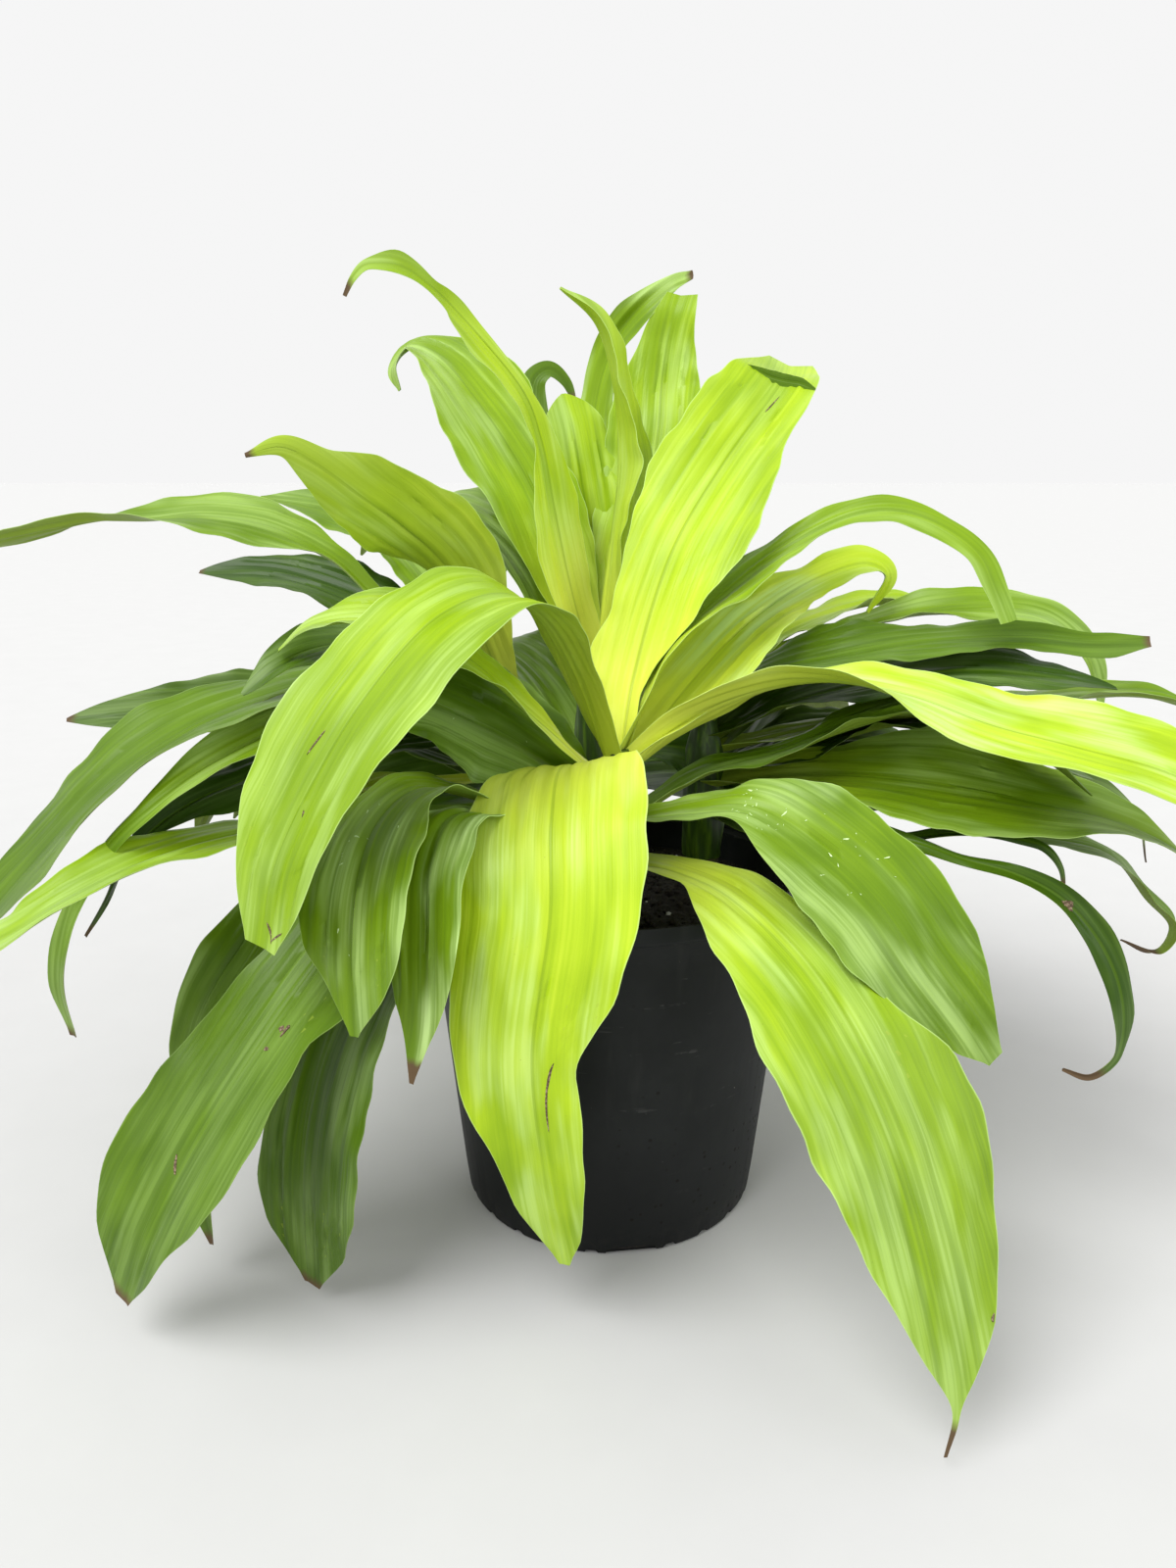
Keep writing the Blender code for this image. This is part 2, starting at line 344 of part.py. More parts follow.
def blade_object(name, one, number):
    """A blade as one thin closed body, its two faces split into triangles alike"""
    stations = MARGIN_STATIONS if one.margins else BLADE_STATIONS
    top, face = blade_surface(one, number, stations, one.across)
    bottom = top - face[:, None, :] * BLADE_THICKNESS
    bm = bmesh.new()
    upper = [[bm.verts.new(p) for p in row] for row in top]
    lower = [[bm.verts.new(p) for p in row] for row in bottom]
    for i in range(stations - 1):
        for j in range(one.across - 1):
            for grid, flip in ((upper, False), (lower, True)):
                a, b = grid[i][j], grid[i][j + 1]
                c, d = grid[i + 1][j + 1], grid[i + 1][j]
                for corners in ((a, b, c), (a, c, d)):
                    bm.faces.new(corners[::-1] if flip else corners)
    rim = [(i, 0) for i in range(stations)]
    rim += [(stations - 1, j) for j in range(1, one.across)]
    rim += [(i, one.across - 1) for i in range(stations - 2, -1, -1)]
    rim += [(0, j) for j in range(one.across - 2, 0, -1)]
    for (i, j), (k, l) in zip(rim, rim[1:] + rim[:1]):
        bm.faces.new((upper[i][j], upper[k][l], lower[k][l]))
        bm.faces.new((upper[i][j], lower[k][l], lower[i][j]))
    bmesh.ops.recalc_face_normals(bm, faces=bm.faces)
    return mesh_object(name, bm)


def mesh_object(name, bm):
    """An object in the scene that holds the finished mesh"""
    mesh = bpy.data.meshes.new(name)
    bm.to_mesh(mesh)
    bm.free()
    made = bpy.data.objects.new(name, mesh)
    bpy.context.scene.collection.objects.link(made)
    return made


def finish(name, colour, roughness):
    """A plain material for one kind of piece"""
    made = bpy.data.materials.new(name)
    made.use_nodes = True
    shader = made.node_tree.nodes["Principled BSDF"]
    shader.inputs["Base Color"].default_value = (*colour, 1)
    shader.inputs["Roughness"].default_value = roughness
    return made


def turned_body(name, profile, sides):
    """A closed body made by turning a profile of (radius, height) round the Z axis"""
    bm = bmesh.new()
    rings = []
    for radius, height in profile:
        if radius == 0:
            rings.append([bm.verts.new((0, 0, height))])
            continue
        ring = []
        for k in range(sides):
            angle = 2 * math.pi * k / sides
            ring.append(bm.verts.new((radius * math.cos(angle), radius * math.sin(angle), height)))
        rings.append(ring)
    for first, second in zip(rings, rings[1:]):
        for k in range(sides):
            n = (k + 1) % sides
            if len(first) == 1:
                bm.faces.new((first[0], second[n], second[k]))
            elif len(second) == 1:
                bm.faces.new((first[k], first[n], second[0]))
            else:
                bm.faces.new((first[k], first[n], second[n], second[k]))
    bmesh.ops.recalc_face_normals(bm, faces=bm.faces)
    made = mesh_object(name, bm)
    made.data.shade_smooth()
    made.data.set_sharp_from_angle(angle=SHARP_EDGE)
    return made


def block(name, size, angle, reach, height):
    """A box that stands at an angle and a reach from the axis, its middle at the height"""
    bm = bmesh.new()
    bmesh.ops.create_cube(bm, size=1)
    bmesh.ops.scale(bm, vec=size, verts=bm.verts)
    made = mesh_object(name, bm)
    made.location = (reach * math.cos(angle), reach * math.sin(angle), height)
    made.rotation_euler = (0, 0, angle)
    return made


def outer_skin(mesh):
    """The mesh without the small sealed pockets and scraps left where blades cross"""
    bm = bmesh.new()
    bm.from_mesh(mesh)
    left = set(bm.verts)
    skins = []
    while left:
        skin = {left.pop()}
        edge = list(skin)
        while edge:
            near = {e.other_vert(v) for v in edge for e in v.link_edges} - skin
            skin |= near
            edge = list(near)
        left -= skin
        skins.append(skin)
    largest = max(skins, key=len)
    bmesh.ops.delete(bm, geom=[v for v in bm.verts if v not in largest], context="VERTS")
    bm.to_mesh(mesh)
    bm.free()
    return mesh


def fuse(name, pieces, operation="UNION"):
    """The first piece with the others joined to it, or cut from it, as one body"""
    body, others = pieces[0], pieces[1:]
    bunch = bpy.data.collections.new(name + "_bunch")
    bpy.context.scene.collection.children.link(bunch)
    for piece in others:
        bpy.context.scene.collection.objects.unlink(piece)
        bunch.objects.link(piece)
    join = body.modifiers.new("join", "BOOLEAN")
    join.operation = operation
    join.operand_type = "COLLECTION"
    join.collection = bunch
    join.solver = "MANIFOLD" if operation == "UNION" else "EXACT"
    graph = bpy.context.evaluated_depsgraph_get()
    joined = bpy.data.meshes.new_from_object(body.evaluated_get(graph))
    body.modifiers.clear()
    body.data = outer_skin(joined)
    body.data.name = name
    body.name = name
    for piece in others:
        bpy.data.objects.remove(piece)
    bpy.data.collections.remove(bunch)
    return body


def pot():
    """The nursery pot: tapered wall, stepped rim, flat floor and drainage notches round its foot"""
    wall_top = POT_HEIGHT - RIM_HEIGHT
    slope = (POT_TOP_RADIUS - POT_BASE_RADIUS) / wall_top
    inner_top = RIM_RADIUS - POT_WALL
    profile = [
        (0, 0),
        (POT_BASE_RADIUS - BASE_ROUND, 0),
        (POT_BASE_RADIUS, BASE_ROUND),
        (POT_TOP_RADIUS, wall_top),
        (RIM_RADIUS, wall_top + RIM_STEP),
        (RIM_RADIUS, POT_HEIGHT),
        (inner_top, POT_HEIGHT),
        (inner_top, wall_top + RIM_STEP + POT_WALL),
        (POT_TOP_RADIUS - POT_WALL, wall_top + POT_WALL),
        (POT_BASE_RADIUS - POT_WALL + slope * POT_FLOOR, POT_FLOOR),
        (0, POT_FLOOR),
    ]
    shell = turned_body("pot", profile, POT_SIDES)
    cutters = []
    for k in range(NOTCHES):
        angle = 2 * math.pi * (k + 0.5) / NOTCHES
        broad = abs(math.remainder(angle - ARCH_ANGLE, 2 * math.pi)) < math.pi / NOTCHES
        width = ARCH_WIDTH if broad else NOTCH_WIDTH
        height = ARCH_HEIGHT if broad else NOTCH_HEIGHT
        cutters.append(block("notch", (2 * NOTCH_DEPTH, width, 2 * height), angle, POT_BASE_RADIUS, 0))
    return fuse("pot", [shell, *cutters], "DIFFERENCE")


def soil():
    """The soil that fills the pot, with a lumpy top and a plain hole for each stem"""
    foot = POT_BASE_RADIUS - POT_WALL - GAP
    slope = (POT_TOP_RADIUS - POT_BASE_RADIUS) / (POT_HEIGHT - RIM_HEIGHT)
    low = POT_FLOOR + GAP
    radius = foot + slope * SOIL_TOP
    profile = [(0, low), (foot + slope * low, low), (radius, SOIL_TOP)]
    for k in range(SOIL_RINGS - 1, 0, -1):
        profile.append((radius * k / SOIL_RINGS, SOIL_TOP))
    profile.append((0, SOIL_TOP))
    body = turned_body("soil", profile, SOIL_SIDES)
    for v in body.data.vertices:
        if v.co.z > SOIL_TOP - GAP and v.co.xy.length < radius - GAP:
            lump = math.sin(SOIL_WAVES[0] * v.co.x + 1) * math.cos(SOIL_WAVES[1] * v.co.y + 2)
            v.co.z += SOIL_RELIEF * lump
    holes = []
    for stem in STEMS.values():
        bm = bmesh.new()
        bmesh.ops.create_cone(bm, cap_ends=True, segments=STEM_SIDES, depth=2 * HOLE_DEPTH,
                              radius1=stem.radius + GAP, radius2=stem.radius + GAP)
        hole = mesh_object("hole", bm)
        hole.location = (stem.x, stem.y, SOIL_TOP)
        holes.append(hole)
    return fuse("soil", [body, *holes], "DIFFERENCE")


def bare_stem(which):
    """The bare foot of a stem, standing in its hole in the soil"""
    stem = STEMS[which]
    low = SOIL_TOP - HOLE_DEPTH + GAP
    profile = [(0, low), (stem.radius, low)]
    for share in STEM_RINGS:
        profile.append((stem.radius * (1 - STEM_TAPER * share), low + (CROWN_FOOT - low) * share))
    profile.append((0, CROWN_FOOT))
    made = turned_body("stem_" + which, profile, STEM_SIDES)
    made.location = (stem.x, stem.y, 0)
    return made


def crown(which, leaves):
    """The leafy top of a stem: its green core with every leaf grown into it"""
    stem = STEMS[which]
    low = CROWN_FOOT + GAP
    rise = stem.crown_top - low
    profile = [(stem.radius * wide, low + rise * high) for wide, high in CROWN_RINGS]
    profile = [(0, low), *profile, (0, stem.crown_top)]
    core = turned_body("core", profile, CROWN_SIDES)
    core.location = (stem.x, stem.y, 0)
    blades = [blade_object("blade", one, number) for number, one in enumerate(leaves)]
    return fuse("leaves_" + which, [core, *blades])


LEAVES = {"front": FRONT_LEAVES, "back": BACK_LEAVES, "left": LEFT_LEAVES, "right": RIGHT_LEAVES}


def main():
    for thing in list(bpy.data.objects):
        bpy.data.objects.remove(thing)
    plastic = finish("black plastic", (0.035, 0.037, 0.039), 0.5)
    earth = finish("dark soil", (0.03, 0.022, 0.015), 0.95)
    bark = finish("pale brown stem", (0.25, 0.2, 0.1), 0.8)
    lime = finish("lime leaf", (0.45, 0.68, 0.06), 0.4)
    green = finish("green leaf", (0.2, 0.42, 0.06), 0.4)
    pot().data.materials.append(plastic)
    soil().data.materials.append(earth)
    for which, leaves in LEAVES.items():
        bare_stem(which).data.materials.append(bark)
        crown(which, leaves).data.materials.append(lime if which == "front" else green)


main()
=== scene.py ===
"""A potted dracaena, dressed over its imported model: veined leaves, ringed stems, soil and a dusty pot.

Metres, +Z up. The pot stands on Z = 0 with its axis on the Z axis, and the front of the plant faces -Y.
"""
import math
from collections import namedtuple

import bmesh
import bpy
import numpy as np
from bpy.props import EnumProperty, FloatProperty, FloatVectorProperty, IntProperty, PointerProperty
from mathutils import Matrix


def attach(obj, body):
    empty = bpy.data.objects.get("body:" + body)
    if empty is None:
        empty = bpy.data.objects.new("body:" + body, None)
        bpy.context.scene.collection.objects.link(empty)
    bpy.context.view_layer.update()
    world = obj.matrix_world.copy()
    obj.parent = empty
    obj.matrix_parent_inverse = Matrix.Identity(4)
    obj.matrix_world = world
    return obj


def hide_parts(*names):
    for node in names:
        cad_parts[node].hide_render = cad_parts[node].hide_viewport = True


bl_info = {
    "name": "Potted dracaena",
    "version": (1, 0, 0),
    "blender": (4, 5, 0),
    "location": "3D View > Sidebar > Dracaena",
    "description": "Grows a broad-leaved dracaena in its nursery pot, piece by piece",
    "category": "Add Mesh",
}

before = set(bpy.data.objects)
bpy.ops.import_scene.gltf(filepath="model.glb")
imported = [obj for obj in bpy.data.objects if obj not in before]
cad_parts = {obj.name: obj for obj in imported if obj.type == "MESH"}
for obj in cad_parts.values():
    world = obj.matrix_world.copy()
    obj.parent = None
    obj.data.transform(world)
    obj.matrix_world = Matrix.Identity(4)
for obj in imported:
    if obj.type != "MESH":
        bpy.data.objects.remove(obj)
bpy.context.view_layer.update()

CM = 0.01
MM = 0.001

# The stems, as the solids have them: place, radius and the height of the crown's tip
Stem = namedtuple("Stem", "x y radius crown_top")
STEMS = {
    "front": Stem(0.004, -0.035, 0.0130, 0.318),
    "back": Stem(-0.010, 0.068, 0.0125, 0.368),
    "left": Stem(-0.070, 0.036, 0.0120, 0.352),
    "right": Stem(0.065, 0.036, 0.0120, 0.328),
}
CROWN_FOOT = 0.2253
CROWN_RINGS = ((1.1, 0), (1.25, 0.3), (1.05, 0.75), (0.45, 1))
STEM_FOOT = 0.1603
STEM_TOP = 0.225

# The form that all leaves share with their solids
BASE_WIDTH = 0.02
TIP_WIDTH = 0.003
BASE_FLARE = 1.3
RIPPLE_WAVES = 2.6
RIPPLE_STEP = 1.7
RIPPLE_SHIFT = 0.9
RIPPLE_SWELL = 0.7
ARCH_STEPS = 6
ARCH_BEND = 1.2

# What the fine leaves add: margins that waver and crimp, in waves along a leaf, feet that clasp the
# crown, a softly rounded fold, and pleats, each with its breadth in millimetres and its share
WAVER = 0.045
BROAD_WAVER, MIDDLE_WAVER, FINE_WAVER = 2.3, 6.1, 13.7
BROAD_CRIMP, FINE_CRIMP = 7.3, 12.9
SLIM = 0.014
CLASP = 0.16
CLASP_FOLD = math.radians(50)
FOLD_ROUND = 0.004
PLEATS = ((13, 0.8), (8.3, 1.0), (5.6, 0.7))
MARGIN_THINNING = 0.6

# How finely the leaves' routes, margins and scars are worked out
CURVE_STEPS = 16
ROUTE_STEPS = 240
LENGTH_STEPS = 60
MARGIN_WINDOW = 13
BEND_WEIGHT = 0.2
NEAR = 0.002
PATCH_SIDES = 18
PATCH_ROOT = 0.0001
SCAR_RISE = 0.00025
FLECK_RISE = 0.00012

# Where the two soft lights shine from and at, the camera's place, and half the floor's width
KEY_PLACE = (-0.9, -0.7, 1.9)
SIDE_PLACE = (1.6, -0.9, 0.9)
LIGHT_AIM = (0, 0, 0.25)
CAMERA_PLACE = (-0.015, -0.735, 0.49)
FLOOR_HALF = 30

# A leaf: the points its midrib runs through from the stem to the tip, in centimetres; its greatest
# width in centimetres; where along it that width lies; how sharply it narrows to the tip; the angles
# by which its face is turned about the midrib at the stem, the middle and the tip; the angle by which
# its margins are folded up; the height of the waves in its margins in millimetres; its tone, from 0
# for the darkest green to 1 for lime, which also holds painted shade on the leaves deep in the crown;
# where along it the dried tip begins; how strong its painted sheen is, pale patches that stand for
# reflections; and, where the width isn't even, how far the two margins lie from the midrib at even
# steps along it.
Leaf = namedtuple("Leaf", "route width widest taper turn fold ripple tone dry bloom margins")


def leaf(*route, width=6.5, widest=0.5, taper=2.2, turn=(0, 0, 0), fold=12, ripple=4, tone=0.6, dry=1.1,
         bloom=1, margins=()):
    """One row of the leaf lists, with the usual values filled in"""
    return Leaf(route, width, widest, taper, turn, fold, ripple, tone, dry, bloom, margins)


def both(*reach):
    """The margins of a leaf with two like sides"""
    return reach, reach


def arching(which, heading, height, rise, droop, length=41, **look):
    """A leaf that bends over evenly in its own upright plane: angles in degrees, sizes in centimetres"""
    stem = STEMS[which]
    point = np.array([stem.x / CM, stem.y / CM, height])
    outward = np.array([math.cos(math.radians(heading)), math.sin(math.radians(heading)), 0])
    upward = np.array([0, 0, 1])
    route = [tuple(point)]
    for k in range(ARCH_STEPS):
        angle = math.radians(rise - droop * ((k + 0.5) / ARCH_STEPS) ** ARCH_BEND)
        point = point + (outward * math.cos(angle) + upward * math.sin(angle)) * length / ARCH_STEPS
        route.append(tuple(point))
    return leaf(*route, **look)


FRONT_LEAVES = [
    leaf((0, -3.5, 28), (-1.5, -6, 31), (-3, -8.5, 32), (-3.5, -13, 30), (-3.5, -16, 25.5), (-4.5, -17, 18),
         (-4, -17, 11), (-3, -16, 4), fold=4, ripple=2, margins=((1, 2.1, 3.7, 4.5, 5.1, 5.6, 5.5, 5.4, 5.1,
         4.5, 3.9, 3, 2.4, 2.8, 2.7, 2.5, 2.1, 1.6, 0.4), (1, 1.7, 2.8, 4.1, 4.7, 5, 5.4, 5.6, 5.7, 5.5,
         5.3, 5, 4.8, 4.4, 3.2, 2.6, 2.2, 1.3, 0.1)), tone=0.99),
    leaf((0, -3.5, 30), (-2, -4.5, 36.5), (-4, -6, 40.3), (-6.3, -8.5, 42), (-9.6, -11, 41), (-13.3, -13.5,
         37), (-15.9, -15.5, 32.7), (-17.6, -17, 28.8), (-18.4, -17.5, 24.5), turn=(0, 8, 5), fold=6,
         ripple=2, margins=((1, 1.3, 1.8, 2.3, 2.9, 3.4, 3.9, 4.3, 4.6, 4.9, 4.8, 4.7, 4.1, 3.7, 3.3, 2.7,
         0.9), (1, 1.3, 1.8, 2.3, 2.8, 3.3, 3.8, 4.2, 4.4, 4.4, 4.9, 5, 5.1, 4.7, 3.7, 2.9, 1.6)),
         tone=0.85, bloom=0.8),
    leaf((0.5, -3, 30.5), (1.5, 0, 36), (4, 3, 43.5), (7.5, 6, 49), (10.8, 8.6, 53.2), (11.7, 9.8, 54.3),
         (12.4, 12, 55), (12.9, 14, 55.7), turn=(0, -12, -20), fold=14, ripple=2, margins=((1, 1.3, 2, 3.4,
         2.5, 2.8, 3.2, 3.8, 4.3, 4.2, 4.2, 4.3, 3.8, 2.8, 1.6), (1, 1, 0.8, 2, 3.4, 4, 5.2, 5.3, 4.9, 4.2,
         3.3, 2.9, 2.6, 2.2, 1.6)), tone=1, bloom=0.35),
    leaf((0.5, -4, 24.5), (3.5, -9, 25.8), (6.5, -13, 25.6), (10.5, -18, 22.5), (14, -21.5, 16), (16.4,
         -24.5, 7.5), (17, -26, 3), (16.5, -26.5, 0.8), fold=-2, turn=(0, -12, -12), ripple=2, margins=((1,
         1.5, 2.1, 2.7, 3.1, 3.4, 3.4, 3.3, 3.8, 5.6, 6.3, 5.8, 5.2, 4.3, 3.1, 0.2, 0.1), (1, 1.2, 1.1, 0.9,
         2.4, 3.4, 3.9, 4.8, 5.1, 4.9, 4.6, 4.1, 3.5, 2.7, 1.7, 0.25, 0.1)), tone=0.82, dry=0.955),
    leaf((0.5, -3.5, 27), (4.4, -7, 29), (8, -10, 30.1), (11.4, -12, 28.4), (14.4, -14, 25.9), (16.9, -15.5,
         22.4), (19.2, -16, 19.4), (20.8, -16, 17), fold=6, turn=(0, -35, -30), ripple=2, margins=((1, 1.3,
         1.7, 1.8, 1.8, 2.4, 3.5, 3.6, 3.7, 4.1, 3.9, 3.8, 2.9, 1.9, 0.9), (1, 1.3, 1.5, 1.5, 1.3, 2.1, 3.2,
         3.4, 3.8, 4.1, 4, 3, 2.2, 1.6, 0.1)), tone=0.64, bloom=1.4),
    leaf((0.5, -3.5, 30), (4.5, -3, 33.5), (9.5, -3.5, 35.7), (13.5, -4, 36.2), (18, -5, 35.5), (22.5, -6.5,
         34), (27, -8, 33), (32.5, -9, 31.5), (37.5, -10, 28.5), (40, -10, 25.5), width=7.5, turn=(60, -25,
         -40), widest=0.62, tone=1.04, bloom=1.5),
    leaf((0.5, -3, 30.5), (3.5, 0, 37.4), (7.4, 2, 40.9), (11.2, 3, 43.6), (15.6, 3, 45.8), (18.3, 2.5,
         46.1), (21, 1.5, 45.2), (23.2, 0.5, 43.5), (24.1, -0.5, 41.5), (24.8, -1.5, 39.5), turn=(0, -30,
         -65), ripple=3, margins=((1, 2, 2.6, 2.8, 2.7, 2.1, 1.4, 1.1, 1, 0.8, 0.7, 0.4), (1, 2, 3, 3.5,
         3.4, 2.7, 1.9, 1.4, 1.3, 1.2, 1.1, 0.7)), tone=0.8, bloom=0.6),
    leaf((0.5, -3, 30), (5, 1, 35), (9.5, 4, 39), (14.5, 7, 41.5), (18, 8, 42.3), (19.3, 8, 41.5), (18, 7.5,
         39), turn=(0, -20, -30), margins=both(1, 2.2, 3.3, 4, 4.3, 4.2, 3.8, 3, 2.2, 1.7, 1.9, 1.6, 0.8,
         0.2), tone=1.15, bloom=1.8),
    leaf((0, -4, 27), (-6.6, -6.8, 29.2), (-11.3, -9.5, 31), (-13.2, -12, 29.8), (-14, -15, 27.3), (-14.1,
         -17, 23.9), (-14, -17.6, 19.5), fold=8, ripple=2, margins=((1, 1.4, 1.9, 2.3, 2.7, 3, 3.2, 4, 4.3,
         4, 3.9, 2.3, 0.2), (1, 1.3, 1.8, 2.2, 2.5, 2.7, 2.8, 2.7, 3, 3.4, 2.8, 1.4, 0.2)), tone=0.7,
         bloom=1.6),
    leaf((0, -4, 26), (-5.2, -7.8, 28.2), (-9.2, -11.5, 30), (-10.3, -14.3, 28.1), (-10.4, -16, 24.5),
         (-10.5, -17, 20), (-11.1, -17.3, 16.5), fold=8, ripple=2, margins=((1, 1.3, 1.7, 2, 2.3, 2.6, 2.7,
         2.8, 2.6, 2.3, 1.5, 0.6, 0.1), (1, 1.2, 1.4, 1.6, 1.7, 1.6, 1.6, 1.9, 2.3, 2.1, 1.7, 0.8, 0.1)),
         tone=0.68, dry=0.95, bloom=3),
    leaf((0, -4, 26), (-6, -5.5, 27.6), (-10.5, -8, 27.3), (-14, -10.5, 25), (-17.3, -13, 21.2), (-20.4,
         -15.5, 17), (-23.2, -17.5, 12.7), (-26, -18, 7.5), (-28, -17.5, 2.5), turn=(0, 20, 25), fold=8,
         ripple=2, margins=((1, 1.5, 2.2, 2.9, 3.6, 4.1, 4.6, 4.8, 4.9, 3.6, 3.7, 4, 3.8, 3.2, 2, 1.4, 0.1),
         (1, 1.5, 2, 2.6, 3, 3.3, 3.5, 3.5, 3.3, 3.6, 4.2, 4.7, 5, 5.1, 4.7, 3.5, 0.8)), tone=0.5,
         dry=0.985, bloom=0.5),
    leaf((0, -4.5, 24.3), (-6, -6.8, 25), (-10.3, -9, 24.9), (-13.3, -10.6, 22.5), (-15.7, -12, 18.5),
         (-17.4, -13, 14), (-18.3, -13.8, 9), (-18.5, -14, 1.2), turn=(0, 20, 30), fold=8, ripple=2,
         margins=((1, 1.5, 2.2, 2.8, 3.5, 4, 4.4, 4.8, 4.9, 5, 5, 3.7, 1), (1, 1.4, 1.9, 2.4, 2.7, 2.9, 2.9,
         2.8, 2.5, 3.1, 3.4, 2.8, 0.1)), tone=0.46, dry=0.985),
    leaf((0, -3.5, 29), (-3, -5, 32.6), (-5.6, -5.5, 35.1), (-7.6, -5.8, 37.2), (-9.8, -6, 38.9), (-13,
         -5.6, 40.1), (-15.9, -5.2, 40.2), (-18.3, -5, 39.6), (-20, -4.8, 38.2), turn=(0, 20, 20),
         margins=both(0.9, 0.9, 0.9, 1, 1.3, 2, 2.8, 3.1, 2.6, 1.3, 0.2), tone=0.95),
    leaf((0, -3.5, 28), (-5.1, -4.3, 32), (-8.5, -4.8, 34), (-11.9, -5.5, 35.5), (-15.8, -6.5, 35.6),
         width=8.5, turn=(20, 45, 40), tone=0.46),
    leaf((0.5, -3.5, 26.5), (6, -1, 29.5), (11, -1, 31), (16, -1.5, 33), (20.7, -2, 34.2), (26, -3, 32),
         (30, -4, 29), width=5.5, tone=0.5),
]

BACK_LEAVES = [
    leaf((-1, 6, 34.5), (-2.8, 4.5, 41.6), (-3.7, 3.5, 46.1), (-4.5, 2.5, 50.4), (-5.5, 1.5, 53.2), (-9.6,
         0, 58), (-10.4, -0.9, 58.7), (-11.5, -1.7, 59.5), (-12.3, -2.4, 59.8), (-13.2, -3.1, 59.8), (-14,
         -3.6, 59.6), (-14.6, -4, 58.9), (-15.1, -4, 58), turn=(75, 65, 60), ripple=2, margins=((1, 1.4, 2,
         2.6, 3.1, 3.3, 3, 2.3, 1.7, 1.5, 1.6, 1.8, 1.4, 0.6, 0.8, 0.3, 0.1), (1, 1.3, 1.6, 1.9, 2.2, 2.3,
         2.1, 1.6, 1.1, 0.9, 0.8, 0.8, 0.8, 0.4, 1, 0.3, 0.1)), tone=0.98, dry=0.975),
    leaf((-1, 7, 34.5), (-3.4, 8.5, 42.5), (-5.8, 11, 48), (-9.4, 14, 53.2), (-12.4, 16, 56.4), (-14.6, 17,
         57.2), (-15.7, 16.5, 55.8), (-15.3, 16, 54.2), turn=(15, 25, 10), ripple=2, margins=((1, 1.6, 2.5,
         3.5, 4.4, 4.9, 5.1, 5, 4.4, 3.6, 2.4, 1.2, 0.2), (1, 1.5, 2.1, 2.7, 3.1, 3.4, 3.4, 3.8, 4.6, 4.7,
         3.4, 1.8, 0.2)), tone=0.82),
    leaf((-1, 7, 35), (-1.2, 11, 42.5), (-1.9, 13, 47.5), (-2.6, 14.5, 51.5), (-3.3, 15.5, 53.9), width=5.5,
         widest=0.6, taper=5, tone=1),
    leaf((-1, 6.5, 35), (0.1, 8.5, 43.5), (0.7, 9, 49.2), (0.2, 8.5, 54.2), (-1, 8, 57.9), (-3.3, 7, 59.9),
         width=6, fold=35, taper=1.6, tone=1.02),
    leaf((-1, 8, 34), (-0.9, 14.5, 44), (-1, 18.5, 52.7), (0.4, 18.5, 57.5), (2.6, 17, 60), (4.7, 17, 61.6),
         (6, 16, 62), margins=both(1, 1.5, 2, 2.3, 2.4, 2.3, 2.2, 2, 1.6, 1.5, 1.4, 0.9, 0.3), tone=0.8,
         dry=0.985, bloom=1.6),
    leaf((-0.5, 7.5, 35), (2.4, 11.5, 44.4), (3.6, 14, 51.2), (3.9, 15.5, 54.5), (4.3, 16, 57.4), (4.8, 16,
         59.5), (5.2, 16.5, 60.7), fold=16, turn=(0, -10, -10), margins=((1, 1.5, 2.2, 2.9, 3.4, 3.7, 3.8,
         3.8, 3.7, 3.3, 2.4, 1.8, 1), (1, 1.5, 2.2, 2.9, 3.4, 3.7, 3.8, 3.8, 3.6, 3.3, 2.6, 2, 1.4)),
         tone=0.93),
    leaf((-1, 8.5, 33.5), (-3.7, 16, 46.5), (-5.7, 20, 52.8), (-5.6, 21, 55.3), (-4.5, 21.5, 56), (-3.3,
         21.5, 55.1), (-2.5, 21, 53.5), width=3, tone=0.5, dry=0.97),
    arching("back", 62, 33, 72, 118, width=7.5, tone=0.7),
    arching("back", 106, 32.5, 64, 124, length=43, width=8),
    arching("back", 130, 31, 68, 112, length=40, width=7, tone=0.65),
    arching("back", 80, 29.5, 48, 104, length=40, width=8, tone=0.5),
    arching("back", 117, 27.5, 40, 108, length=42, width=8, tone=0.55, dry=0.97),
    leaf((-0.5, 7, 27.5), (2.5, 8.5, 29), (6, 9.5, 28.7), (9.5, 10, 27.3), (12.5, 10, 25.5), width=6,
         turn=(0, -60, -60), tone=0.25),
    arching("back", 154, 26.5, 3, 56, length=36, width=10, widest=0.4, turn=(20, 50, 40), tone=0.35),
    arching("back", 50, 26.3, 2, 56, length=32, width=9, widest=0.35, turn=(-20, -50, -40), tone=0.3),
]

